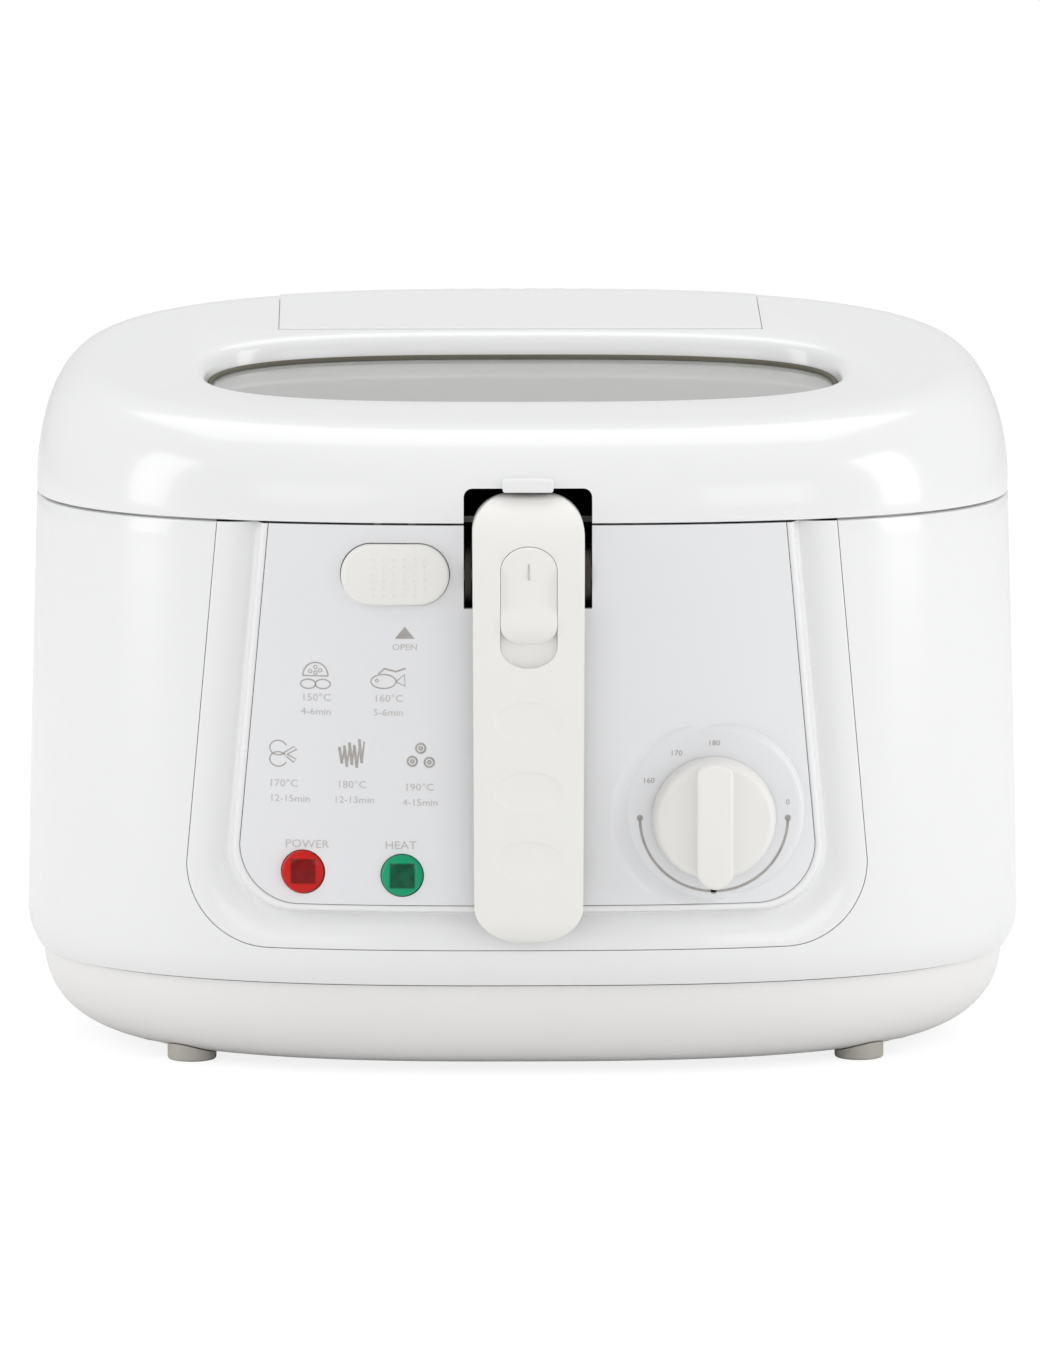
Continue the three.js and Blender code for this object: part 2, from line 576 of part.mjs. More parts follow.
function addLid() {
  const lid = addGroup(fryer, 0, 0, 0);
  const foot = PARTING_Z + SEAM;
  let shell = lidForm(0, foot).subtract(lidForm(WALL, foot - 5));

  const well = { y: WINDOW.y, exponent: WINDOW.exponent, segments: 32 };
  const { halfX, halfY, depth } = WINDOW;
  shell = shell.add(slopedOval(halfX + 2.4, halfY + 2.4, depth + 2.5, 1, well));
  shell = shell.subtract(slopedOval(halfX, halfY, depth, -5, well));
  shell = shell.subtract(slopedOval(halfX - 6, halfY - 6, depth + 20, -5, well));

  shell = shell.add(slopedBox(84, 41, 92, 17, 1));
  shell = shell.subtract(slopedBox(81.6, 43.4, 89.6, 15, -5));
  for (let x = -66; x <= 66; x += 22) {
    shell = shell.subtract(box(x - 7, x + 7, 50, 83, 180, plateauZ(50) - 10));
  }
  const cover = box(-86.3, 86.3, 37.7, 112.3, 200, 300);
  shell = shell.subtract(cover.intersect(lidForm(-5, foot).subtract(lidForm(1.7, foot))));

  shell = shell.add(box(-8.7, 8.7, -129.6, -123.2, 203.1, 207.7));
  shell = shell.subtract(box(-SLOT_HALF, SLOT_HALF, -150, -112, 180, 203));
  shell = shell.subtract(box(-SLOT_HALF, -8.7, -150, -112, 180, NOTCH_TOP_Z));
  shell = shell.subtract(box(8.7, SLOT_HALF, -150, -112, 180, NOTCH_TOP_Z));

  const inside = 46;
  const outside = 60;
  for (const side of SIDES) {
    const [x0, x1] = side > 0 ? [inside, outside] : [-outside, -inside];
    const web = new THREE.Shape([
      new THREE.Vector2(HINGE.y, HINGE.z - 1),
      new THREE.Vector2(HINGE.y + 5, HINGE.z + 3.5),
      new THREE.Vector2(118, 212),
      new THREE.Vector2(118, PARTING_Z + 2.5),
      new THREE.Vector2(129.5, PARTING_Z + 2.5),
    ]);
    const lug = prism('x', web, x0, x1).subtract(lidForm(WALL, foot - 5));
    shell = shell.add(lug).add(rod('x', HINGE.knuckle, x0, x1, [HINGE.y, HINGE.z]));
  }
  shell = shell.subtract(rod('x', HINGE.pin + GAP, -90, 90, [HINGE.y, HINGE.z]));
  addPart(lid, 'lid_shell', shell, FINISHES.whitePlastic);

  const glass = slopedOval(halfX - 0.4, halfY - 0.4, depth - GAP, depth - 3.3, well);
  addPart(lid, 'lid_window', glass, FINISHES.glass);
  const seal = slopedOval(halfX - 0.4, halfY - 0.4, depth - 3.6, depth - 5.2, well)
    .subtract(slopedOval(halfX - 3.4, halfY - 3.4, depth, 0, well));
  addPart(lid, 'window_gasket', seal, FINISHES.rubber);

  const passage = box(-30, 30, -140, -87.6, 150, 214);
  const hood = ovalBlock(113, 87, 188.4, 199.2).subtract(ovalBlock(111, 85, 180, 197.2));
  let liner = hood.add(ovalBlock(158, 114, 197.2, 199.2).subtract(ovalBlock(112, 86, 190, 198)));
  liner = liner.subtract(ovalBlock(100, 40, 180, 210, well)).subtract(passage);
  addPart(lid, 'lid_liner', liner, FINISHES.steel);

  const gasket = ovalBand(122.5, 96.5, 5, POT.rimZ + POT.wall + 0.6, 196.9, POT_OVAL);
  addPart(lid, 'lid_gasket', gasket.subtract(passage), FINISHES.rubber);

  const { x } = BUTTON;
  let hook = box(x - 7, x + 7, -120.6, -119, 186.6, 197);
  hook = hook.subtract(box(x - 4.6, x + 4.6, -125, -115, 188.4, 192.4));
  addPart(lid, 'lid_catch', hook, FINISHES.steel);

  const mesh = slopedBox(80.8, 44.2, 88.8, 14.6, 9.2);
  addPart(lid, 'grease_filter', mesh, FINISHES.steel);
  const pad = slopedBox(80.8, 44.2, 88.8, 8.8, 3.6);
  addPart(lid, 'charcoal_filter', pad, FINISHES.charcoal);

  const skin = lidForm(-0.6, 205).subtract(lidForm(1.4, 200));
  let lift = skin.intersect(box(-86, 86, 38, 112, 205, 300));
  for (let row = -70; row <= 70; row += 10) {
    lift = lift.subtract(box(row - 2.5, row + 2.5, 101, 108, 205, 300));
  }
  addPart(lid, 'filter_cover', lift, FINISHES.whitePlastic);
}

function addHinge() {
  const pin = rod('x', HINGE.pin, -79, 79, [HINGE.y, HINGE.z]);
  addPart(fryer, 'hinge_pin', pin, FINISHES.steel);
  for (const side of SIDES) {
    const coil = helix('x', 4.1, 5.5, 2, [HINGE.y, HINGE.z], side > 0 ? 33 : -44);
    const name = side > 0 ? 'hinge_spring_right' : 'hinge_spring_left';
    addPart(fryer, name, wire(coil, 0.8, 50), FINISHES.steel);
  }
}

// ---------------------------------------------------------------- handle and basket

/** A steel plate's two faces along X, on the left or on the right. */
function plateSpan(way, inside) {
  return way > 0 ? [inside, inside + PLATE] : [-inside - PLATE, -inside];
}

/** The two levers between the handle and the basket, in a group at their pivot. */
function addLevers() {
  const levers = addGroup(fryer, 0, ...LEVER_AT);
  const fork = { reach: 20, half: 6.4, slot: 4.1 };
  const rest = 180 + LEVER.line - LEVER.swing / 2;
  for (const way of SIDES) {
    const [x0, x1] = plateSpan(way, LEVER.inside);
    const middle = (x0 + x1) / 2;
    const blade = (length, width, from, degrees) => {
      const bar = new THREE.BoxGeometry(x1 - x0, length - from, width);
      bar.translate(middle, (length + from) / 2, 0).rotateX(THREE.MathUtils.degToRad(degrees));
      return solid(bar);
    };
    let lever = rod('x', 7, x0, x1, [0, 0]).add(blade(fork.reach, 2 * fork.half, 0, rest));
    lever = lever.add(blade(LEVER.reach, 9, 0, -LEVER.swing / 2));
    lever = lever.add(rod('x', 4.8, x0, x1, liftStep));
    const opening = new THREE.BoxGeometry(10, 20, 2 * fork.slot);
    opening.translate(middle, 19, 0).rotateX(THREE.MathUtils.degToRad(rest));
    lever = lever.subtract(solid(opening)).subtract(rod('x', LEVER.pin + GAP, -40, 40, [0, 0]));
    lever = lever.subtract(rod('x', DRIVE.pin + GAP, -40, 40, liftStep));
    addPart(levers, way > 0 ? 'lift_lever_right' : 'lift_lever_left', lever, FINISHES.steel);
  }
  const pin = rod('x', DRIVE.pin, -25.4, 25.4, liftStep);
  addPart(levers, 'lift_pin', pin, FINISHES.steel);
}

/** The handle, hanging, in a group whose origin is the pivot. */
function addHandle() {
  const handle = addGroup(fryer, 0, PIVOT.y, PIVOT.z);
  const { half, face, back, tip, hub } = GRIP;

  const side = new THREE.Shape();
  side.moveTo(-face, 0);
  side.absarc(0, 0, face, Math.PI, 0.53 * Math.PI, true);
  side.lineTo(-2, hub);
  side.absarc(0, 0, hub, 0.5 * Math.PI, -0.6 * Math.PI, true);
  side.lineTo(-back, -10.4);
  side.lineTo(-back, -tip + 3);
  side.lineTo(-back - 3, -tip);
  side.lineTo(-face + 6, -tip);
  side.lineTo(-face, -tip + 7);
  const front = new THREE.Shape();
  const lower = 18.5;
  const crown = 13;
  front.moveTo(-half, 16);
  front.absellipse(-half + crown, 16, crown, face - 16, Math.PI, Math.PI / 2, true);
  front.absellipse(half - crown, 16, crown, face - 16, Math.PI / 2, 0, true);
  front.lineTo(lower, -tip + 13);
  front.absellipse(0, -tip + 13, lower, 13, 0, -Math.PI, true);
  let grip = prism('x', side, -half, half, 8).intersect(prism('y', front, -60, 60, 6));

  const hollow = { half: 15.5, top: -13.5, bottom: -tip + 15, front: -face + 3 };
  grip = grip.subtract(box(-hollow.half, hollow.half, hollow.front, 0, hollow.bottom, hollow.top));
  grip = grip.subtract(box(-9.9, 9.9, -60, -20.4, -29.4, 12.4));
  grip = grip.subtract(rod('x', PIVOT.pin + GAP, -30, 30, [0, 0]));
  for (let k = 0; k < 3; k += 1) {
    const dent = new THREE.SphereGeometry(1, 16, 8);
    dent.scale(11.75, 1.6, 7).translate(0, -face, -47.6 - k * 23.85);
    grip = grip.subtract(solid(dent));
  }
  addPart(handle, 'handle_grip', grip, FINISHES.satinPlastic);

  const backHalf = hollow.half - GAP;
  const backCover = box(-backHalf, backHalf, -back - 2.2, -back, hollow.bottom + GAP, hollow.top - GAP);
  addPart(handle, 'handle_back', backCover, FINISHES.satinPlastic);

  const drive = polar(DRIVE.reach, DRIVE.angle);
  for (const way of SIDES) {
    const [x0, x1] = plateSpan(way, ARM.inside);
    let arm = rod('x', ARM.lobe, x0, x1, [0, 0], 32).add(rod('x', ARM.end, x0, x1, drive));
    arm = arm.subtract(rod('x', PIVOT.pin + GAP, -40, 40, [0, 0]));
    arm = arm.subtract(rod('x', DRIVE.pin + GAP, -40, 40, drive));
    addPart(handle, way > 0 ? 'handle_plate_right' : 'handle_plate_left', arm, FINISHES.steel);
  }
  addPart(handle, 'drive_pin', rod('x', DRIVE.pin, -24.1, 24.1, drive), FINISHES.steel);

  addSlider(handle);
}

/** The sliding release on the handle's face, and its spring. */
function addSlider(handle) {
  const side = new THREE.Shape();
  side.moveTo(-20.8, 11.6);
  side.lineTo(-26.4, 11.6);
  side.quadraticCurveTo(-27.4, 2, -27.4, -10);
  side.lineTo(-29, -13.5);
  side.lineTo(-28.6, -17.5);
  side.lineTo(-24.6, -21.7);
  side.lineTo(-20.8, -21.7);
  let slider = prism('x', side, -9.6, 9.6);
  slider = slider.add(box(-5, 5, -22, -18.8, -21.7, -14));
  addPart(handle, 'handle_slider', slider, FINISHES.satinPlastic);

  const coil = helix('z', 2.2, 5, 2.4, [0, -21.6], -44.2);
  addPart(handle, 'slider_spring', wire(coil, 0.4, 45), FINISHES.steel);
}

/** The frying basket in its lowered place. */
function addBasket() {
  const basket = addGroup(fryer, 0, 0, 0);
  const { halfX, halfY, y, floorZ, rimZ, wall } = BASKET;
  const oval = { y, exponent: 2.8, segments: 32 };
  const outer = ovalLoft([
    { a: halfX - 10, b: halfY - 10, z: floorZ },
    { a: halfX - 4, b: halfY - 4, z: floorZ + 5 },
    { a: halfX, b: halfY, z: rimZ - 3 },
  ], oval);
  const inner = ovalLoft([
    { a: halfX - 11, b: halfY - 11, z: floorZ + wall },
    { a: halfX - 4 - wall, b: halfY - 4 - wall, z: floorZ + 5 + wall },
    { a: halfX - wall, b: halfY - wall, z: rimZ + 5 },
  ], oval);
  addPart(basket, 'basket_mesh', outer.subtract(inner), FINISHES.steel);

  const rim = ovalBand(halfX + 3, halfY + 3, 4.5, rimZ - 2.6, rimZ + 1.4, oval);
  addPart(basket, 'basket_rim', rim, FINISHES.steel);

  const [pinY, pinZ] = LIFT_PIN_AT;
  const sway = LEVER.reach - liftStep[0];
  const play = { y: DRIVE.pin + 0.6, z: DRIVE.pin + 1 };
  const backY = pinY + sway + play.y;
  const frontY = pinY - play.y - 3.4;
  const plate = { outside: 21.4, inside: 19.9, half: 7.4 };
  let yoke = box(-plate.outside, plate.outside, frontY, backY + PLATE, pinZ - plate.half, pinZ + plate.half);
  yoke = yoke.add(box(-plate.outside, plate.outside, backY, backY + PLATE, rimZ - 14, pinZ));
  yoke = yoke.subtract(box(-plate.inside, plate.inside, frontY - 5, backY, 100, 200));
  yoke = yoke.subtract(box(-40, 40, pinY - play.y, backY, pinZ - play.z, pinZ + play.z));
  addPart(basket, 'basket_yoke', yoke, FINISHES.steel);
}

// ---------------------------------------------------------------- knob

/** The thermostat knob and its shaft, in a group at the dial's centre. */
function addKnob() {
  const knob = addGroup(fryer, KNOB.x, KNOB.seatY, KNOB.z);
  const { radius } = KNOB;
  const disc = turned([[0, -9], [radius - 3, -9], [radius - 0.8, -7], [radius, -1.2], [radius, -0.4],
    [0, -0.4]], 0, 0, 0, 32);
  const bar = new THREE.Shape();
  const barHalf = 6;
  bar.moveTo(-barHalf, radius - 3);
  bar.lineTo(-barHalf, -radius + 3);
  bar.quadraticCurveTo(0, -radius - 5.6, barHalf, -radius + 3);
  bar.lineTo(barHalf, radius - 3);
  bar.quadraticCurveTo(0, radius + 2, -barHalf, radius - 3);
  let body = disc.add(prism('y', bar, -18, -5));
  body = body.subtract(rod('y', 3 + GAP, -10, 10, [0, 0]));
  addPart(knob, 'thermostat_knob', body, FINISHES.satinPlastic);
  const shaftEnd = -111.3 - KNOB.seatY;
  addPart(knob, 'thermostat_shaft', rod('y', 3, -9.6, shaftEnd, [0, 0]), FINISHES.steel);
}

// ---------------------------------------------------------------- assembly

addHousing();
addBezel();
addPanel();
addBase();
addBaseScrews();
addDeck();
addSlotLiner();
addPot();
addHeater();
addElectrics();
addLatch();
addLid();
addHinge();
addHandle();
addLevers();
addBasket();
addKnob();

// The box round the whole fryer is centred on X = 0, Y = 0.
const frontY = KNOB.seatY - 18;
const handleY = PIVOT.y - 29;
const backY = HINGE.y + HINGE.knuckle;
fryer.position.y = -(Math.min(frontY, handleY) + backY) / 2;

export default fryer;
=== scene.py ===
import math

import bpy
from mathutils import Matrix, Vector


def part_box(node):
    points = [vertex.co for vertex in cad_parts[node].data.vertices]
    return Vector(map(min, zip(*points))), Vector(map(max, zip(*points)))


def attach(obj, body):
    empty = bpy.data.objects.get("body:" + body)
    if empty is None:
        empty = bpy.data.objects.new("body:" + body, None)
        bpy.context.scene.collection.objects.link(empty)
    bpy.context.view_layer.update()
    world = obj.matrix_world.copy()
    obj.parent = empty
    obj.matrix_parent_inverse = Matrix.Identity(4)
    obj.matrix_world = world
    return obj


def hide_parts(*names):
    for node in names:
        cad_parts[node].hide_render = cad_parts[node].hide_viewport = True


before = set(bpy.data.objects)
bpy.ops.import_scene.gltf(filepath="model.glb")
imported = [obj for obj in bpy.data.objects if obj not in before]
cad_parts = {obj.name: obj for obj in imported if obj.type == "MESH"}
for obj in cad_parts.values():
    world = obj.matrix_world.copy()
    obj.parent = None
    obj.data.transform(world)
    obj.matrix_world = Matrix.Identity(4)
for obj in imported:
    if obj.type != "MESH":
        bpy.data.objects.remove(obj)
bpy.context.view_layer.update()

# Shapes below are written in millimetres in the fryer's own frame, whose middle line is
# the middle of the housing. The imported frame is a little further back.
MM = 0.001
HINGE = {"y": 135, "z": 193, "knuckle": 6, "bore": 2.8}
low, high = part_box("hinge_pin")
SHIFT_Y = (low.y + high.y) / 2 - HINGE["y"] * MM

PLAN = 2.65          # how square the oval footprint is
POT_PLAN = 2.8
WINDOW_PLAN = 3
SIDES = 160          # steps round a large oval

FOOT_Z = 33.4        # lower edge of the housing
RIM_Z = 191.7        # upper edge of the housing
LID_Z = 192.4        # lower edge of the lid
SHOULDER = 2.35      # how full the lid's shoulder is
WALL = 3
SLOT = {"half": 21.9, "floor": 163.3, "notch": 204.3}
PIVOT = {"y": -118, "z": 174.3}
KNOB = {"x": 63.6, "z": 91, "radius": 21.2, "seat": -126}
SEAT = {"x": 64.5, "z": 93.5, "radius": 30.5}
BUTTON = {"x": -45.3, "z": 175, "half_x": 18.45, "half_z": 10.4, "face": -129.5}
LENSES = {
    "power": {"x": -76.9, "z": 72.5, "radius": 7.3, "y": -125.4},
    "heat": {"x": -43, "z": 71.8, "radius": 7.15, "y": -129.6},
}
BEZEL_EDGE = {"top": 106, "floor": 46, "corner": 28}
PANEL_EDGE = {"top": 88.3, "floor": 61.5, "corner": 20}
FLARE = 9.5 / 103    # how much the front's outline widens per millimetre down
PANEL_SUNK = 0.5     # the panel's face behind the housing's own surface
PRINT_THICK = 0.06
LAMP_WINDOW = 4.3    # half side of the dark square that shows through a lens


# ---------- modelling by hand

def at(x, y, z):
    """A place in the fryer's own frame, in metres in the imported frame."""
    return Vector((x * MM, y * MM + SHIFT_Y, z * MM))


def clear():
    if bpy.context.mode != "OBJECT":
        bpy.ops.object.mode_set(mode="OBJECT")
    bpy.ops.object.select_all(action="DESELECT")


def pick(piece):
    clear()
    piece.select_set(True)
    bpy.context.view_layer.objects.active = piece


def edit(piece):
    """Edit mode on one piece, with all of it selected."""
    pick(piece)
    bpy.ops.object.mode_set(mode="EDIT")
    bpy.ops.mesh.select_all(action="SELECT")


def settle(piece):
    """The piece's place goes into its mesh."""
    pick(piece)
    bpy.ops.object.transform_apply(location=True, rotation=True, scale=True)
    return piece


def tidy_faces(piece):
    edit(piece)
    bpy.ops.mesh.remove_doubles(threshold=0.000005)
    bpy.ops.mesh.normals_make_consistent(inside=False)
    clear()
    return piece


def apply_modifier(piece, kind, **settings):
    pick(piece)
    modifier = piece.modifiers.new(kind.title(), kind)
    for key, value in settings.items():
        setattr(modifier, key, value)
    bpy.ops.object.modifier_apply(modifier=modifier.name)
    return piece


def soften(piece, width, segments=3, angle=35):
    """Rounds every edge sharper than an angle."""
    return apply_modifier(piece, "BEVEL", width=width * MM, segments=segments,
                          limit_method="ANGLE", angle_limit=math.radians(angle))


def thicken(piece, thickness, offset=-1):
    return apply_modifier(piece, "SOLIDIFY", thickness=thickness * MM, offset=offset,
                          use_even_offset=True)


def combine(piece, others, operation):
    for other in others:
        apply_modifier(piece, "BOOLEAN", operation=operation, solver="EXACT", object=other)
        bpy.data.objects.remove(other)
    return piece


def cut(piece, *others):
    return combine(piece, others, "DIFFERENCE")


def weld(piece, *others):
    return combine(piece, others, "UNION")


def keep_inside(piece, other):
    return combine(piece, [other], "INTERSECT")


def gather(pieces):
    """Several pieces that don't touch, as one piece."""
    clear()
    for piece in pieces:
        piece.select_set(True)
    bpy.context.view_layer.objects.active = pieces[0]
    bpy.ops.object.join()
    return pieces[0]


def block(x0, x1, y0, y1, z0, z1, round_by=0, segments=3):
    clear()
    middle = at((x0 + x1) / 2, (y0 + y1) / 2, (z0 + z1) / 2)
    size = ((x1 - x0) * MM, (y1 - y0) * MM, (z1 - z0) * MM)
    bpy.ops.mesh.primitive_cube_add(size=1, location=middle, scale=size)
    piece = settle(bpy.context.object)
    return soften(piece, round_by, segments) if round_by else piece


def rod(axis, radius, start, end, first, second, sides=48, round_by=0):
    """A round bar along an axis; first and second are its place on the other two axes."""
    middle = (start + end) / 2
    places = {"x": (middle, first, second), "y": (first, middle, second), "z": (first, second, middle)}
    turns = {"x": (0, math.pi / 2, 0), "y": (math.pi / 2, 0, 0), "z": (0, 0, 0)}
    clear()
    bpy.ops.mesh.primitive_cylinder_add(vertices=sides, radius=radius * MM, depth=abs(end - start) * MM,
                                        location=at(*places[axis]), rotation=turns[axis])
    piece = settle(bpy.context.object)
    return soften(piece, round_by) if round_by else piece


def squarer(value, exponent):
    """A cosine or sine, as a squarer oval has it."""
    return math.copysign(abs(value) ** (2 / exponent), value)


def loft(rings, exponent=PLAN, y=0, sides=SIDES, ring_closed=False):
    """A skin drawn up through level ovals (half width, half depth, height), with flat ends.
    ring_closed joins the last oval to the first instead, for a wall with an inside."""
    clear()
    bpy.ops.mesh.primitive_circle_add(vertices=sides, radius=1)
    piece = bpy.context.object
    half_x, half_y, height = rings[0]
    for k, vertex in enumerate(piece.data.vertices):
        angle = 2 * math.pi * k / sides
        across = half_x * squarer(math.cos(angle), exponent)
        along = half_y * squarer(math.sin(angle), exponent)
        vertex.co = at(across, y + along, height)
    edit(piece)
    middle = at(0, y, 0)
    if not ring_closed:
        bpy.ops.mesh.edge_face_add()
        bpy.ops.mesh.duplicate()
    for last, ring in zip(rings, rings[1:]):
        bpy.ops.mesh.extrude_edges_move() if ring_closed else bpy.ops.mesh.extrude_region_move()
        bpy.ops.transform.resize(value=(ring[0] / last[0], ring[1] / last[1], 1), center_override=middle)
        bpy.ops.transform.translate(value=(0, 0, (ring[2] - last[2]) * MM))
    return tidy_faces(piece)


def reshape(piece, rule):
    """Moves every point by a rule on its millimetre place."""
    for vertex in piece.data.vertices:
        x, y, z = vertex.co.x / MM, (vertex.co.y - SHIFT_Y) / MM, vertex.co.z / MM
        vertex.co = at(*rule(x, y, z))
    return piece


def turned(profile, x, y, z, sides=64, facing=-1):
    """A round piece facing the front: profile points are (radius, distance back from y)."""
    piece = loft([(radius, radius, back) for radius, back in profile], 2, 0, sides)
    reshape(piece, lambda px, py, pz: (x + px, y - facing * pz, z + py))
    return tidy_faces(piece)


def prism(axis, outline, start, end):
    """A flat outline pushed along one axis: (y, z) along x, (x, z) along y."""
    clear()
    bpy.ops.mesh.primitive_circle_add(vertices=len(outline), radius=1, fill_type="NGON")
    piece = bpy.context.object
    for vertex, (first, second) in zip(piece.data.vertices, outline):
        vertex.co = at(start, first, second) if axis == "x" else at(first, start, second)
    step = (end - start) * MM
    edit(piece)
    move = (step, 0, 0) if axis == "x" else (0, step, 0)
    bpy.ops.mesh.extrude_region_move(TRANSFORM_OT_translate={"value": move})
    return tidy_faces(piece)


def sheet(across, along, rule):
    """A grid of across by along faces, placed by a rule on its 0 to 1 coordinates."""
    clear()
    bpy.ops.mesh.primitive_grid_add(x_subdivisions=across, y_subdivisions=along, size=1)
    piece = bpy.context.object
    for vertex in piece.data.vertices:
        vertex.co = at(*rule(vertex.co.x + 0.5, vertex.co.y + 0.5))
    return piece


def face_out(piece, axis, way, face=0):
    """Flips an open sheet unless one of its faces points the given way along an axis."""
    if piece.data.polygons[face].normal[axis] * way <= 0:
        edit(piece)
        bpy.ops.mesh.flip_normals()
        clear()
    return piece


def polar(x, z, radius_x, radius_z, degrees):
    angle = math.radians(degrees)
    return x + radius_x * math.cos(angle), z + radius_z * math.sin(angle)


def arc(x, z, radius_x, radius_z, start, end, steps):
    """Points on an ellipse's arc, with angles in degrees."""
    angles = [start + (end - start) * k / steps for k in range(steps + 1)]
    return [polar(x, z, radius_x, radius_z, angle) for angle in angles]


def wire(paths, radius, closed=False):
    """Wires along lists of places, as one mesh with few sides."""
    curve = bpy.data.curves.new("wire", "CURVE")
    curve.dimensions = "3D"
    curve.bevel_depth = radius * MM
    curve.bevel_resolution = 0
    curve.use_fill_caps = not closed
    for path in paths:
        spline = curve.splines.new("POLY")
        spline.points.add(len(path) - 1)
        spline.use_cyclic_u = closed
        for point, place in zip(spline.points, path):
            point.co = (*at(*place), 1)
    piece = bpy.data.objects.new("wire", curve)
    bpy.context.scene.collection.objects.link(piece)
    pick(piece)
    bpy.ops.object.convert(target="MESH")
    return bpy.context.object


def present(piece, name, body, material, nodes=(), angle=35):
    """Names a finished piece, smooths it, gives it its finish and lets it ride."""
    piece.name = name
    piece.data.name = name
    pick(piece)
    bpy.ops.object.shade_smooth_by_angle(angle=math.radians(angle))
    piece.data.materials.clear()
    piece.data.materials.append(material)
    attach(piece, body)
    if nodes:
        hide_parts(*nodes)
    clear()
    return piece


# ---------- main forms

def housing_half(z):
    """Half width of the housing at a height."""
    if z < 45:
        return 175 - 3.5 * ((45 - z) / 11.6) ** 2
    return 175 - 4 * ((z - 45) / 146.4) ** 1.15


def front_y(x, z, inset=0):
    """How far forward the housing's surface is, at the front."""
    half = housing_half(z) - inset
    share = min(1, abs(x) / half)
    return -(half - 44) * (1 - share ** PLAN) ** (1 / PLAN)


def plateau_z(y):
    """Height of the lid's sloping top."""
    return 225 + 26.5 / 196 * (y + 98)


def lid_z(x, y):
    """Height of the lid's outer surface at a place."""
    inside, outside = 0, 1
    for _ in range(30):
        share = (inside + outside) / 2
        reach = (abs(x) / (147 + 24 * share)) ** PLAN + (abs(y) / (98 + 29 * share)) ** PLAN
        if reach > 1:
            inside = share
        else:
            outside = share
    up = (1 - outside ** SHOULDER) ** (1 / SHOULDER)
    return LID_Z + up * (plateau_z(y) - LID_Z)


def outline_half(edge, z, grow=0):
    return edge["top"] + grow + (192 - z) * FLARE


def front_outline(edge, grow=0, top=RIM_Z):
    """The front's flared outline, from the top left down and round to the top right."""
    corner_steps, side_steps, floor_steps = 18, 24, 30
    bend = edge["floor"] + edge["corner"]
    radius = edge["corner"] + grow
    centre = outline_half(edge, bend, grow) - radius
    left = []
    for k in range(side_steps):
        z = top + (bend - top) * k / side_steps
        left.append((-outline_half(edge, z, grow), z))
    left += arc(-centre, bend, radius, radius, 180, 270, corner_steps)
    for k in range(1, floor_steps // 2):
        left.append((-centre * (1 - 2 * k / floor_steps), bend - radius))
    return left + [(0, bend - radius)] + [(-x, z) for x, z in reversed(left)]


def front_cutter(edge, grow=0):
    return prism("y", front_outline(edge, grow, RIM_Z + 10), -160, -60)


def stadium(x, z, half_x, half_z, steps=20):
    straight = half_x - half_z
    return arc(x + straight, z, half_z, half_z, -90, 90, steps) + \
        arc(x - straight, z, half_z, half_z, 90, 270, steps)


# ---------- finishes

def new_group(name, inputs, outputs):
    """A shader node group with its sockets, and its own input and output nodes."""
    group = bpy.data.node_groups.new(name, "ShaderNodeTree")
    for label, kind, value in inputs:
        socket = group.interface.new_socket(name=label, in_out="INPUT", socket_type="NodeSocket" + kind)
        if value is not None:
            socket.default_value = value
    for label, kind in outputs:
        group.interface.new_socket(name=label, in_out="OUTPUT", socket_type="NodeSocket" + kind)
    return group, group.nodes.new("NodeGroupInput"), group.nodes.new("NodeGroupOutput")


def feed(links, value, socket):
    """Links an output to a socket, or puts a plain value on it."""
    if isinstance(value, bpy.types.NodeSocket):
        links.new(value, socket)
    else:
        socket.default_value = value


def noise(nodes, links, vector, scale, detail=2):
    node = nodes.new("ShaderNodeTexNoise")
    node.inputs["Detail"].default_value = detail
    links.new(vector, node.inputs["Vector"])
    feed(links, scale, node.inputs["Scale"])
    return node.outputs["Fac"]


def spread(nodes, links, value, low_end, high_end):
    """Moves a noise's middle band out to two ends, which are numbers or sockets."""
    node = nodes.new("ShaderNodeMapRange")
    node.inputs["From Min"].default_value = 0.3
    node.inputs["From Max"].default_value = 0.7
    node.interpolation_type = "SMOOTHSTEP"
    links.new(value, node.inputs["Value"])
    for label, end in (("To Min", low_end), ("To Max", high_end)):
        feed(links, end, node.inputs[label])
    return node.outputs["Result"]


def blend_colour(nodes, links, factor, one, two):
    node = nodes.new("ShaderNodeMix")
    node.data_type = "RGBA"
    links.new(factor, node.inputs["Factor"])
    for label, colour in (("A", one), ("B", two)):
        socket = [s for s in node.inputs if s.name == label and s.type == "RGBA"][0]
        feed(links, colour, socket)
    return [s for s in node.outputs if s.type == "RGBA"][0]


def make_surface_group():
    """Slow drifts of tone and gloss, with a fine moulding texture over them."""
    group, start, end = new_group(
        "moulded_surface",
        [("Vector", "Vector", None), ("Light Tone", "Color", None),
         ("Dark Tone", "Color", None), ("Tone Scale", "Float", 14),
         ("Gloss Low", "Float", 0.2), ("Gloss High", "Float", 0.3),
         ("Grain Scale", "Float", 900)],
        [("Colour", "Color"), ("Roughness", "Float"), ("Height", "Float")])
    nodes, links = group.nodes, group.links
    vector = start.outputs["Vector"]
    tone = spread(nodes, links, noise(nodes, links, vector, start.outputs["Tone Scale"], 3), 0, 1)
    colour = blend_colour(nodes, links, tone, start.outputs["Light Tone"], start.outputs["Dark Tone"])
    gloss = noise(nodes, links, vector, 60, 4)
    roughness = spread(nodes, links, gloss, start.outputs["Gloss Low"], start.outputs["Gloss High"])
    height = noise(nodes, links, vector, start.outputs["Grain Scale"], 2)
    links.new(colour, end.inputs["Colour"])
    links.new(roughness, end.inputs["Roughness"])
    links.new(height, end.inputs["Height"])
    return group


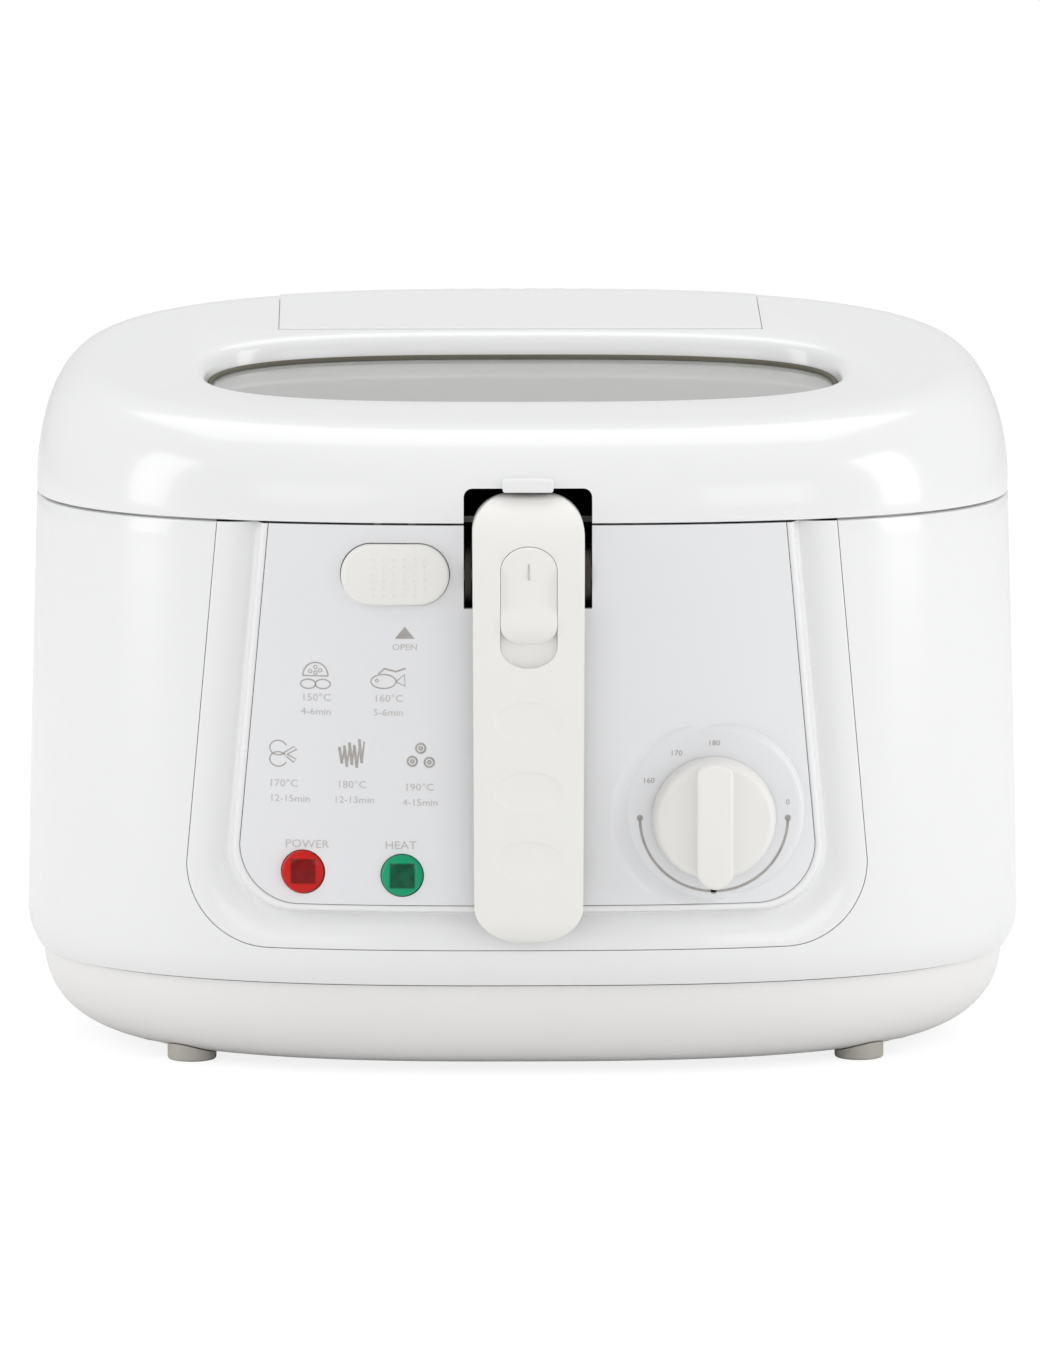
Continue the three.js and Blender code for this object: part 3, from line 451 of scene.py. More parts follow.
SURFACE = make_surface_group()


def add_node(nodes, kind, **inputs):
    """A shader node with plain values on some of its inputs."""
    node = nodes.new("ShaderNode" + kind)
    for label, value in inputs.items():
        node.inputs[label.replace("_", " ")].default_value = value
    return node


def multiply(nodes, links, first, second):
    node = add_node(nodes, "Math")
    node.operation = "MULTIPLY"
    links.new(first, node.inputs[0])
    links.new(second, node.inputs[1])
    return node.outputs[0]


def start_material(name):
    material = bpy.data.materials.new(name)
    material.use_nodes = True
    nodes, links = material.node_tree.nodes, material.node_tree.links
    shader = nodes["Principled BSDF"]
    place = nodes.new("ShaderNodeTexCoord")
    return material, nodes, links, shader, place.outputs["Object"]


def stretched(nodes, links, vector, scale):
    node = add_node(nodes, "Mapping", Scale=scale)
    links.new(vector, node.inputs["Vector"])
    return node.outputs["Vector"]


def bump(nodes, links, shader, height, distance):
    node = add_node(nodes, "Bump", Distance=distance * MM, Strength=1.0)
    links.new(height, node.inputs["Height"])
    links.new(node.outputs["Normal"], shader.inputs["Normal"])


def surface_material(name, light, dark, gloss, grain, depth, tone_scale=14, stretch=None, **sockets):
    """A finish made from the shared surface group; sockets are plain values on the shader."""
    material, nodes, links, shader, vector = start_material(name)
    if stretch:
        vector = stretched(nodes, links, vector, stretch)
    surface = nodes.new("ShaderNodeGroup")
    surface.node_tree = SURFACE
    links.new(vector, surface.inputs["Vector"])
    surface.inputs["Light Tone"].default_value = (*light, 1)
    surface.inputs["Dark Tone"].default_value = (*dark, 1)
    surface.inputs["Tone Scale"].default_value = tone_scale
    surface.inputs["Gloss Low"].default_value = gloss[0]
    surface.inputs["Gloss High"].default_value = gloss[1]
    surface.inputs["Grain Scale"].default_value = grain
    links.new(surface.outputs["Colour"], shader.inputs["Base Color"])
    links.new(surface.outputs["Roughness"], shader.inputs["Roughness"])
    bump(nodes, links, shader, surface.outputs["Height"], depth)
    for label, value in sockets.items():
        shader.inputs[label.replace("_", " ")].default_value = value
    return material


WHITE = surface_material("white_gloss_plastic", (0.853, 0.855, 0.86), (0.85, 0.852, 0.857),
                         (0.18, 0.20), 1500, 0.006, Coat_Weight=0.3, Coat_Roughness=0.06)
BASE_WHITE = surface_material("white_base_plastic", (0.836, 0.828, 0.816), (0.833, 0.825, 0.813),
                              (0.24, 0.26), 1500, 0.006, Coat_Weight=0.15, Coat_Roughness=0.1)
PANEL_WHITE = surface_material("white_panel_plastic", (0.80, 0.805, 0.82), (0.797, 0.802, 0.817),
                               (0.22, 0.24), 1500, 0.006, Coat_Weight=0.2, Coat_Roughness=0.08)
SATIN = surface_material("satin_white_plastic", (0.845, 0.838, 0.815), (0.835, 0.827, 0.803),
                         (0.36, 0.46), 1500, 0.012)
BLACK = surface_material("black_plastic", (0.008, 0.006, 0.005), (0.014, 0.011, 0.009),
                         (0.5, 0.7), 1800, 0.03, Specular_IOR_Level=0.15)
STEEL = surface_material("brushed_steel", (0.50, 0.49, 0.47), (0.42, 0.41, 0.39), (0.2, 0.42), 500,
                         0.01, tone_scale=120, stretch=(0.08, 1, 1), Metallic=1.0)
# painted shade: the brushed steel painted near black for the plates deep in the handle's slot
PAINTED_SHADE_STEEL = surface_material("steel_painted_dark_as_slot_shade", (0.075, 0.066, 0.058), (0.04, 0.035, 0.03), (0.3, 0.45), 500,
                              0.01, tone_scale=120, stretch=(1, 1, 0.1), Metallic=0.9)
WIRE_STEEL = surface_material("bright_wire", (0.62, 0.61, 0.59), (0.5, 0.49, 0.47), (0.15, 0.3), 800,
                              0.01, tone_scale=200, Metallic=1.0)
RUBBER = surface_material("grey_rubber", (0.13, 0.125, 0.09), (0.10, 0.095, 0.07), (0.6, 0.8), 1200, 0.04)
FOOT_RUBBER = surface_material("pale_rubber", (0.52, 0.50, 0.46), (0.46, 0.44, 0.40), (0.6, 0.8), 1200, 0.04)
CERAMIC = surface_material("ceramic", (0.78, 0.74, 0.66), (0.68, 0.64, 0.56), (0.5, 0.7), 700, 0.05)
FELT = surface_material("filter_felt", (0.03, 0.03, 0.03), (0.07, 0.07, 0.07), (0.85, 1.0), 2500, 0.25)
COATING = surface_material("pot_coating", (0.03, 0.031, 0.033), (0.075, 0.077, 0.08), (0.28, 0.42), 1600,
                           0.03, tone_scale=900, Coat_Weight=0.3, Coat_Roughness=0.25)
INK = surface_material("grey_ink", (0.36, 0.34, 0.32), (0.44, 0.42, 0.40), (0.5, 0.7), 2000, 0.002,
                       tone_scale=500)
FAINT_INK = surface_material("faint_grey_ink", (0.50, 0.485, 0.47), (0.58, 0.565, 0.55), (0.5, 0.7), 2000,
                             0.002, tone_scale=500)
GLASS = surface_material("window_glass", (0.74, 0.75, 0.73), (0.71, 0.72, 0.70), (0.06, 0.12), 80,
                         0.004, Transmission_Weight=0.5, IOR=1.5)


def lens_material(name, rim, middle, x, z, half):
    """A moulded lens with the dark square of its lamp showing through."""
    material, nodes, links, shader, vector = start_material(name)
    moved = add_node(nodes, "Mapping", Location=(-x * MM, 0, -z * MM))
    links.new(vector, moved.inputs["Vector"])
    parts = nodes.new("ShaderNodeSeparateXYZ")
    links.new(moved.outputs["Vector"], parts.inputs["Vector"])
    inside = []
    for label in ("X", "Z"):
        size = nodes.new("ShaderNodeMath")
        size.operation = "ABSOLUTE"
        links.new(parts.outputs[label], size.inputs[0])
        edge = add_node(nodes, "MapRange", From_Min=(half + 0.35) * MM, From_Max=(half - 0.35) * MM)
        links.new(size.outputs[0], edge.inputs["Value"])
        inside.append(edge.outputs["Result"])
    ripple = spread(nodes, links, noise(nodes, links, vector, 260, 2), 0.82, 1.0)
    depth = multiply(nodes, links, multiply(nodes, links, *inside), ripple)
    colour = blend_colour(nodes, links, depth, (*rim, 1), (*middle, 1))
    links.new(colour, shader.inputs["Base Color"])
    rough = spread(nodes, links, noise(nodes, links, vector, 400, 2), 0.08, 0.14)
    links.new(rough, shader.inputs["Roughness"])
    shader.inputs["Specular IOR Level"].default_value = 0.2
    shader.inputs["Coat Weight"].default_value = 0.08
    shader.inputs["Coat Roughness"].default_value = 0.03
    return material


RED = lens_material("red_lens", (0.58, 0.012, 0.008), (0.17, 0.0, 0.0), -76.9, 72.9, LAMP_WINDOW)
GREEN = lens_material("green_lens", (0.008, 0.34, 0.16), (0.0, 0.055, 0.025), -43, 71.8, LAMP_WINDOW)


# ---------- camera, lights, floor

def hang(name, data, place, target):
    """A camera or a light at a place, turned towards another."""
    holder = bpy.data.objects.new(name, data)
    holder.location = place
    holder.rotation_euler = (Vector(target) - Vector(place)).to_track_quat("-Z", "Y").to_euler()
    bpy.context.scene.collection.objects.link(holder)
    return holder


def add_camera():
    camera = bpy.data.cameras.new("camera")
    camera.sensor_fit = "VERTICAL"
    camera.sensor_height = 36
    camera.lens = 258
    camera.shift_x = -0.0017
    camera.shift_y = -0.0021
    camera.clip_end = 100
    bpy.context.scene.camera = hang("camera", camera, (-0.053, -3.4, 0.568), (0, 0, 0.125))


def add_softbox(name, place, width, height, power, target=(0, 0, 0.15)):
    light = bpy.data.lights.new(name, "AREA")
    light.shape = "RECTANGLE"
    light.size = width
    light.size_y = height
    light.energy = power
    hang(name, light, place, target)


def seen_bright(nodes, links, dim, bright):
    """Mixes two shaders so that only the view itself sees the bright one."""
    path = nodes.new("ShaderNodeLightPath")
    mix = nodes.new("ShaderNodeMixShader")
    links.new(path.outputs["Is Camera Ray"], mix.inputs[0])
    links.new(dim, mix.inputs[1])
    links.new(bright, mix.inputs[2])
    return mix.outputs[0]


def add_world(level):
    world = bpy.data.worlds.new("studio")
    bpy.context.scene.world = world
    world.use_nodes = True
    nodes, links = world.node_tree.nodes, world.node_tree.links
    dim = nodes["Background"]
    dim.inputs["Strength"].default_value = level
    dim.inputs["Color"].default_value = (1, 1, 1, 1)
    bright = add_node(nodes, "Background", Color=(1, 1, 1, 1))
    out = seen_bright(nodes, links, dim.outputs[0], bright.outputs[0])
    links.new(out, nodes["World Output"].inputs["Surface"])


def add_floor():
    clear()
    bpy.ops.mesh.primitive_plane_add(size=30, location=(0, 0, 0))
    floor = bpy.context.object
    floor.name = "floor"
    material = bpy.data.materials.new("floor_paper")
    material.use_nodes = True
    nodes, links = material.node_tree.nodes, material.node_tree.links
    nodes.remove(nodes["Principled BSDF"])
    paper = add_node(nodes, "BsdfDiffuse", Color=(0.9, 0.9, 0.9, 1))
    glow = add_node(nodes, "Emission", Strength=0.84)
    thin = add_node(nodes, "BsdfDiffuse", Color=(0.24, 0.24, 0.24, 1))
    both = add_node(nodes, "AddShader")
    links.new(glow.outputs[0], both.inputs[0])
    links.new(thin.outputs[0], both.inputs[1])
    out = seen_bright(nodes, links, paper.outputs[0], both.outputs[0])
    links.new(out, nodes["Material Output"].inputs["Surface"])
    floor.data.materials.append(material)


add_camera()
add_world(0.69)
add_softbox("left_softbox", (-2.7, -0.9, 1.0), 0.9, 3.0, 22)
add_softbox("right_softbox", (2.7, -0.9, 1.0), 0.9, 3.0, 26)
add_softbox("top_softbox", (0, 0.9, 2.6), 2.4, 1.6, 16, (0, 0, 0.1))
add_softbox("front_left_softbox", (-1.5, -3.2, 1.4), 1.4, 1.4, 5)
add_softbox("front_right_softbox", (1.7, -3.0, 1.2), 1.4, 1.4, 7)
add_floor()
bpy.context.scene.view_settings.view_transform = "Standard"


# ---------- housing and base

def add_housing():
    heights = [FOOT_Z, 34.6, 36, 38, 40.5, 44, 50, 60, 75, 90, 105, 120, 135, 150, 165, 178, 186]
    outer = [(housing_half(z), housing_half(z) - 44, z) for z in heights]
    rim = housing_half(RIM_Z)
    outer += [(rim + 0.1, rim - 43.9, RIM_Z - 1), (rim - 0.2, rim - 44.2, RIM_Z - 0.3),
              (rim - 0.9, rim - 44.9, RIM_Z)]
    tongue = [(rim - 3.4, rim - 47.4, RIM_Z), (rim - 3.5, rim - 47.5, RIM_Z + 1.5),
              (rim - 5, rim - 49, RIM_Z + 1.5)]
    inner = [(half_x - WALL, half_y - WALL, z) for half_x, half_y, z in outer[:-4]]
    rings = outer + tongue + [(rim - 5, rim - 49, 188)] + inner[::-1]
    rings.append(rings[0])
    housing = loft(rings, ring_closed=True)
    for side in (-1, 1):
        x0, x1 = sorted((side * 62, side * 76))
        profile = [(125.5, 168), (141, 193), (129, 193), (128.4, 190.8), (125.5, 190.8)]
        ear = prism("x", profile, x0, x1)
        knuckle = rod("x", HINGE["knuckle"], x0, x1, HINGE["y"], HINGE["z"], 48)
        weld(ear, knuckle)
        cut(ear, rod("x", HINGE["bore"], x0 - 1, x1 + 1, HINGE["y"], HINGE["z"], 32))
        weld(housing, soften(ear, 0.6, 2))
    cut(housing, rod("y", 7.3, 100, 150, 70, 58, 48))
    cut(housing, front_cutter(BEZEL_EDGE, 0.18))
    present(housing, "housing_shell", "root", WHITE, ["outer_housing"])


BEZEL_SECTION = [(0, 0.3), (0.012, 0.08), (0.03, 0), (0.12, 0.12), (0.25, 0.55), (0.38, 1.3), (0.5, 2.3),
                 (0.6, 3.4), (0.68, 4.35), (0.74, 4.85), (0.78, 4.9), (0.81, 4.4), (0.835, 3.1),
                 (0.855, 1.6), (0.875, 0.6), (0.9, 0.12), (0.925, 0), (0.955, 0.05), (0.98, 0.25), (1, 0.7)]


def smooth_section(section, steps_between=3):
    """Adds points between a section's points, on a smooth curve through them."""
    points = []
    for k in range(len(section) - 1):
        before, after = section[max(0, k - 1)], section[min(len(section) - 1, k + 2)]
        one, two = section[k], section[k + 1]
        for j in range(steps_between):
            t = j / steps_between
            gap = two[0] - one[0]
            rise_one = (two[1] - before[1]) / max(0.001, two[0] - before[0]) * gap
            rise_two = (after[1] - one[1]) / max(0.001, after[0] - one[0]) * gap
            depth = (2 * t ** 3 - 3 * t ** 2 + 1) * one[1] + (t ** 3 - 2 * t ** 2 + t) * rise_one + \
                (3 * t ** 2 - 2 * t ** 3) * two[1] + (t ** 3 - t ** 2) * rise_two
            points.append((one[0] + gap * t, max(0, depth)))
    return points + [section[-1]]


def add_bezel():
    outer = front_outline(BEZEL_EDGE)
    inner = front_outline(PANEL_EDGE, 0.2)
    section = smooth_section(BEZEL_SECTION)

    def place(u, v):
        k = round(u * (len(outer) - 1))
        across, depth = section[round(v * (len(section) - 1))]
        x = outer[k][0] + (inner[k][0] - outer[k][0]) * across
        z = outer[k][1] + (inner[k][1] - outer[k][1]) * across
        return x, front_y(x, z) + depth, z

    bezel = sheet(len(outer) - 1, len(section) - 1, place)
    tidy_faces(bezel)
    face_out(bezel, 1, -1, len(bezel.data.polygons) // 2)
    thicken(bezel, 1.1)
    present(bezel, "front_surround", "root", WHITE, ["front_bezel"], 50)


def add_panel():
    low_z, high_z = 59.5, RIM_Z

    def place(u, v):
        x, z = -101 + 202 * u, low_z + (high_z - low_z) * v
        return x, front_y(x, z) + PANEL_SUNK, z

    panel = thicken(face_out(sheet(150, 90, place), 1, -1), 4.5)
    keep_inside(panel, front_cutter(PANEL_EDGE))
    seat = (SEAT["x"], KNOB["seat"], SEAT["z"], 128)
    seat_edge = [(30.5, 9), (30.5, 3.5), (30.3, 2.3), (29.9, 1.4), (29.3, 0.6), (28.6, 0.2), (27.6, 0)]
    weld(panel, turned(seat_edge, *seat))
    sunk = [(30.5, 0), (30.9, -0.25), (31.8, -0.7), (33.4, -1.5), (35.4, -2.6), (38, -3.6), (40, -8)]
    cut(panel, turned(sunk, *seat))
    cut(panel, rod("y", 4, -140, -100, KNOB["x"], KNOB["z"], 32))
    for lens in LENSES.values():
        cut(panel, rod("y", lens["radius"] + 0.3, -140, -100, lens["x"], lens["z"], 64))
    hole = stadium(BUTTON["x"], BUTTON["z"], BUTTON["half_x"] + 0.3, BUTTON["half_z"] + 0.3)
    cut(panel, prism("y", hole, -140, -100))
    cut(panel, block(-SLOT["half"], SLOT["half"], -140, -100, SLOT["floor"], 210))
    cut(panel, block(-23, 23, -124.1, -100, 150, 168))
    present(panel, "control_panel", "root", PANEL_WHITE, ["front_panel"], 30)


def base_rings(inset=0, steps=16):
    rings = []
    for k in range(steps + 1):
        angle = k / steps * math.pi / 2
        out = squarer(math.sin(angle), 2.3)
        up = 1 - squarer(math.cos(angle), 2.3)
        rings.append((131 + 38.5 * out - inset, 98 + 27.5 * out - inset, 2.6 + 30.2 * up + inset))
    return rings


def add_base():
    outer = base_rings()
    tray = loft(outer + [(166.9, 122.9, 32.8), (160, 116, 30)] + [(131 - 2.6, 98 - 2.6, 5.2)])
    corners = [(side, end) for side in (-1, 1) for end in (-1, 1)]
    for side, end in corners:
        cut(tray, rod("z", 4.6, 0, 27, side * 128, end * 70, 32))
        cut(tray, rod("z", 3.4, -1, 5, side * 116, end * 78, 32))
    present(tray, "base_bowl", "root", BASE_WHITE, ["base_tray"])
    for number, (side, end) in enumerate(corners, 1):
        foot = rod("z", 8.5, 0, 14, side * 116, end * 78, 48, 1)
        cut(foot, loft(base_rings(-0.3)))
        present(foot, f"rubber_foot_{number}", "root", FOOT_RUBBER, [f"foot_{number}"])


# ---------- lid

RING_RISE = 50       # height of the lid's rings before the top's slope is given


def lid_rings(steps=22):
    """The lid's shoulder, from its rim to the flat top, before the top's slope is given."""
    rings = []
    for k in range(steps + 1):
        angle = k / steps * math.pi / 2
        out, up = squarer(math.cos(angle), SHOULDER), squarer(math.sin(angle), SHOULDER)
        rings.append((147 + 24 * out, 98 + 29 * out, LID_Z + RING_RISE * up))
    return rings


def slope_lid(piece, inset=0):
    """Gives the rings, which all rise alike, the height that the lid has above each place."""
    def rule(x, y, z):
        up = (z - LID_Z) / RING_RISE
        return x, y, LID_Z + up * (plateau_z(y) - LID_Z - inset)
    return reshape(piece, rule)


def follow_top(piece):
    """Heights given as distance above the lid's top become places on its slope."""
    return reshape(piece, lambda x, y, z: (x, y, z + plateau_z(y)))


def lid_patch(half_x, y0, y1, low_by, high_by, steps=(56, 28)):
    """A block that follows the lid's surface, between two heights above it."""
    def place(u, v):
        x, y = half_x * (2 * u - 1), y0 + (y1 - y0) * v
        return x, y, lid_z(x, y) + low_by

    return thicken(face_out(sheet(*steps, place), 2, 1), high_by - low_by, 1)


def add_lid():
    outer = lid_rings()
    outer[0] = (170.4, 126.4, LID_Z)
    outer.insert(1, (170.85, 126.85, LID_Z + 0.35))
    inner = [(half_x - WALL, half_y - WALL, z) for half_x, half_y, z in lid_rings()]
    shell = slope_lid(loft(outer))
    cut(shell, slope_lid(loft([(168, 124, LID_Z - 3)] + inner), WALL))

    well = [(113.4, 50.4, -14.5), (113.4, 50.4, -1)]
    weld(shell, follow_top(loft(well, WINDOW_PLAN, -18)))
    mouth = [(111, 48, -12), (111, 48, -6.8), (111.3, 48.6, -4.6), (111.8, 49.3, -2.8), (112.5, 50.2, -1.5),
             (113.4, 51.4, -0.7), (114.6, 52.8, -0.25), (116.2, 54.4, 0), (117.5, 55.6, 0.1), (119, 57, 3)]
    cut(shell, follow_top(loft(mouth, WINDOW_PLAN, -18)))
    cut(shell, follow_top(loft([(105, 42, -30), (105, 42, 5)], WINDOW_PLAN, -18)))
    cut(shell, lid_patch(86.3, 37.7, 111.8, -1.7, 6))

    lips = block(-8.7, 8.7, -129.2, -122, 203.1, 207.7, 1)
    notch = block(-SLOT["half"], SLOT["half"], -150, -112, 170, SLOT["notch"], 3, 6)
    cut(shell, notch)
    weld(shell, lips)
    for side in (-1, 1):
        x0, x1 = sorted((side * 46, side * 60))
        web = [(135, 192), (140, 196.5), (124.5, 206), (124.5, 194.5), (129.5, 194.5)]
        lug = weld(prism("x", web, x0, x1), rod("x", HINGE["knuckle"], x0, x1, HINGE["y"], HINGE["z"]))
        cut(lug, rod("x", HINGE["bore"], x0 - 1, x1 + 1, HINGE["y"], HINGE["z"], 32))
        weld(shell, soften(lug, 0.6, 2))
    present(shell, "lid_top", "lid", WHITE, ["lid_shell"], 25)

    glass = follow_top(loft([(110.4, 47.4, -11.7), (110.6, 47.6, -11.5), (110.6, 47.6, -8.9),
                             (110.4, 47.4, -8.7)], WINDOW_PLAN, -18))
    present(glass, "window_pane", "lid", GLASS, ["lid_window"])
    ring = [(110.5, 47.5, -8.4), (110.7, 47.7, -8.2), (110.7, 47.7, -7.5), (110.4, 47.4, -7.1),
            (109.9, 46.9, -7.1), (109.4, 46.4, -7.6), (109.3, 46.3, -8.4), (110.5, 47.5, -8.4)]
    seal = follow_top(loft(ring, WINDOW_PLAN, -18, ring_closed=True))
    present(seal, "window_seal", "lid", RUBBER, ["window_gasket"])

    cover = lid_patch(86, 38, 111.5, -1.3, 0.3)
    for k in range(-7, 8):
        x = k * 10
        cut(cover, prism_vertical(stadium(0, 0, 3.5, 2.4, 8), x, 104.5))
    soften(cover, 0.3, 2, 50)
    present(cover, "filter_lid", "cover", WHITE, ["filter_cover"], 30)

    liner = loft([(158, 114, 197.2), (158, 114, 199), (157.8, 113.8, 199.2), (113, 87, 199.2),
                  (112, 86, 197.2), (111, 85, 197.2), (111, 85, 188.4), (113, 87, 188.4),
                  (113, 87, 195.8), (114.5, 88.5, 197.2), (158, 114, 197.2)], ring_closed=True)
    present_liner(liner)
    plan = [(122.5, 96.5), (122.5, 96.5), (121.6, 95.6), (118.4, 92.4), (117.5, 91.5), (117.5, 91.5)]
    levels = [196.9, 188.2, 186.9, 186.9, 188.2, 196.9]
    ring = [(*half, z) for half, z in zip(plan, levels)]
    gasket = loft(ring + [ring[0]], POT_PLAN, ring_closed=True)
    cut(gasket, lever_gap())
    present(gasket, "lid_seal", "lid", RUBBER, ["lid_gasket"])


def add_painted_notch_shade():
    """A thin black strip in the lid, round the space that the handle's crown sweeps: painted shade where the
    notch falls dark.
    """
    py, pz = PIVOT["y"], PIVOT["z"]
    section = arc(py, pz, 30.3, 30.3, 95, 34, 24) + arc(py, pz, 31.3, 31.3, 34, 95, 24)
    # painted shade: a black sheet where the notch is only in shadow
    shade_strip = prism("x", section, -26, 26)
    present(shade_strip, "painted_notch_shade", "lid", BLACK)


def prism_vertical(outline, x, y):
    """A flat outline about one place, pushed right through the lid's top."""
    piece = prism("y", outline, -1, 1)
    return reshape(piece, lambda px, py, pz: (x + px, y + pz, 250 - 50 * py))


def lever_gap():
    """The space at the lid's front that the levers and the handle's crown need."""
    return block(-30, 30, -140, -87.6, 150, 214)


def present_liner(liner):
    top = loft([(112, 86, 197.3), (112, 86, 199.2)])
    weld(liner, top)
    cut(liner, loft([(100, 40, 180), (100, 40, 210)], WINDOW_PLAN, 0))
    cut(liner, lever_gap())
    present(liner, "lid_inner_plate", "lid", STEEL, ["lid_liner"])


# ---------- handle

def add_handle():
    face, back, tip, hub = 28.2, 15.8, 124, 10
    py, pz = PIVOT["y"], PIVOT["z"]
    side = arc(0, 0, face, face, 180, 95.4, 24)
    side += [(-2, hub)] + arc(0, 0, hub, hub, 90, -108, 24)
    side += [(-back, -10.4), (-back, -tip + 3), (-back - 3, -tip)]
    side += arc(-face + 5, -tip + 8, 5, 8, 270, 180, 10)
    grip = prism("x", [(py + y, pz + z) for y, z in side], -19, 19)
    outline = arc(-6, 16, 13, face - 16, 180, 90, 12) + arc(6, 16, 13, face - 16, 90, 0, 12)
    outline += arc(0, -tip + 13, 18.5, 13, 0, -180, 40)
    keep_inside(grip, prism("y", [(x, pz + z) for x, z in outline], -190, -60))
    soften(grip, 1.7, 4, 40)
    cut(grip, block(-15.5, 15.5, py - face + 3, py, pz - tip + 15, pz - 13.5))
    recess = arc(0, 4.1, 9.72, 8.1, 0, 180, 24) + arc(0, -22, 9.72, 7.3, 180, 360, 24)
    cut(grip, prism("y", [(x, pz + z) for x, z in recess], -180, py - 20.4))
    cut(grip, rod("x", 3.3, -30, 30, py, pz, 32))
    for k in range(3):
        clear()
        bpy.ops.mesh.primitive_uv_sphere_add(segments=48, ring_count=24, radius=1)
        dent = bpy.context.object
        dent.scale = (11.75 * MM, 0.6 * MM, 7 * MM)
        dent.location = at(0, py - face, pz - 47.6 - k * 23.85)
        cut(grip, settle(dent))
    present(grip, "handle_body", "handle", SATIN, ["handle_grip"], 30)

    cover = block(-15.2, 15.2, py - back - 2.2, py - back, pz - tip + 15.3, pz - 13.8, 0.5)
    present(cover, "handle_rear_cover", "handle", SATIN, ["handle_back"])

    side = [(-20.8, 12), (-26.9, 12), (-27.7, 11.4), (-27.8, 10)]
    side += [(-27.7, 7), (-27.4, 3), (-27.2, -1), (-27.2, -5), (-27.5, -8.5), (-28.2, -11.2), (-28.9, -13),
             (-29, -14.5), (-28.8, -16.4), (-27.9, -18.6), (-26.6, -20.4), (-25.1, -21.5), (-20.8, -21.5)]
    slider = prism("x", [(py + y, pz + z) for y, z in side], -9.6, 9.6)
    outline = arc(0, 4, 9.6, 8, 0, 180, 24) + arc(0, -14.7, 9.6, 6.8, 180, 360, 24)
    keep_inside(slider, prism("y", [(x, pz + z) for x, z in outline], -180, -100))
    soften(slider, 0.6, 3, 40)
    weld(slider, block(-9.6, 9.6, py - 25.1, py - 24.5, pz - 38, pz - 12))
    present(slider, "release_slider", "slider", SATIN, ["handle_slider"], 30)
    mark = block(-0.3, 0.3, py - 27.75, py - 26.8, pz + 1, pz + 6.5, 0.1, 1)
    present(mark, "slider_mark", "slider", FAINT_INK)

    for way in (-1, 1):
        name = "right" if way > 0 else "left"
        x0, x1 = sorted((way * 19.4, way * 21.5))
        plate = rod("x", 10.5, x0, x1, py, pz, 64)
        drive_y, drive_z = polar(py, pz, 14, 14, -5)
        weld(plate, rod("x", 4.6, x0, x1, drive_y, drive_z, 40))
        cut(plate, rod("x", 3.3, -40, 40, py, pz, 32), rod("x", 2.7, -40, 40, drive_y, drive_z, 32))
        soften(plate, 0.2, 2, 50)
        # the side plates take the steel that is painted dark as the slot's shade
        present(plate, f"side_plate_{name}", "handle", PAINTED_SHADE_STEEL, [f"handle_plate_{name}"])


# ---------- knob, button, lenses

def add_knob():
    radius, seat = KNOB["radius"], KNOB["seat"]
    edge = [(0.3, -0.4), (0, -0.7), (0, -1.5), (0.5, -5.5), (0.9, -7.3), (1.4, -8.3), (2.2, -8.85), (3.2, -9)]
    disc = turned([(radius - inset, out) for inset, out in edge], KNOB["x"], seat, KNOB["z"], 128)
    shares = [1 - 2 * k / 12 for k in range(13)]
    top = [(6 * share, radius - 3 + 2.4 * (1 - share ** 2)) for share in shares]
    low_end = [(-6 * share, -radius + 3 - 4.2 * (1 - share ** 2)) for share in shares]
    grip = prism("y", [(KNOB["x"] + x, KNOB["z"] + z) for x, z in top + low_end], seat - 18, seat - 4)
    soften(grip, 1.6, 4, 40)
    weld(disc, grip)
    cut(disc, rod("y", 3.3, seat - 10, seat + 5, KNOB["x"], KNOB["z"], 32))
    present(disc, "dial_knob", "knob", SATIN, ["thermostat_knob"], 30)


def add_button():
    x, z, face = BUTTON["x"], BUTTON["z"], BUTTON["face"]
    cap = prism("y", stadium(x, z, BUTTON["half_x"], BUTTON["half_z"], 28), face, face + 6.5)
    soften(cap, 1.3, 4, 40)
    dots = []
    for column in range(6):
        for row in range(6):
            clear()
            bpy.ops.mesh.primitive_uv_sphere_add(segments=8, ring_count=4, radius=1)
            dot = bpy.context.object
            dot.scale = (0.6 * MM, 0.28 * MM, 0.6 * MM)
            dot.location = at(x - 7.8 + column * 3.5, face - 0.02, z - 6.9 + row * 2.5)
            dots.append(settle(dot))
    weld(cap, block(x - 4, x + 4, face + 5, -115.6, z - 2.5, z + 2.5))
    present(cap, "lid_button", "button", SATIN, ["open_button"], 30)
    present(gather(dots), "button_dots", "button", SATIN)


LENS_CROWN = [(0.8, -0.65), (0.6, -1.0), (0.35, -1.27), (0.1, -1.38)]


def add_lenses():
    for name, finish in (("power", RED), ("heat", GREEN)):
        lens = LENSES[name]
        radius, x, y, z = lens["radius"], lens["x"], lens["y"], lens["z"]
        profile = [(radius, 7), (radius, 0.7), (radius - 0.15, 0.2), (radius - 0.5, -0.1)]
        profile += [(radius * share, out) for share, out in LENS_CROWN]
        dome = turned(profile, x, y, z, 64)
        present(dome, f"{name}_lens_cap", "root", finish, [f"{name}_lens"], 50)


# ---------- printing on the panel

def on_panel(piece):
    """Lays a flat piece drawn in x and z on the panel, as ink of a hair's thickness."""
    return reshape(piece, lambda x, y, z: (x, front_y(x, z) + PANEL_SUNK - y, z))


def ribbon(points, width):
    """A flat stroke along (x, z) points, as a strip of faces."""
    def place(u, v):
        k = min(len(points) - 1, round(u * (len(points) - 1)))
        before, after = points[max(0, k - 1)], points[min(len(points) - 1, k + 1)]
        run, rise = after[0] - before[0], after[1] - before[1]
        length = math.hypot(run, rise) or 1
        side = (v - 0.5) * width
        return points[k][0] - rise / length * side, PRINT_THICK, points[k][1] + run / length * side

    return face_out(sheet(len(points) - 1, 1, place), 1, 1)


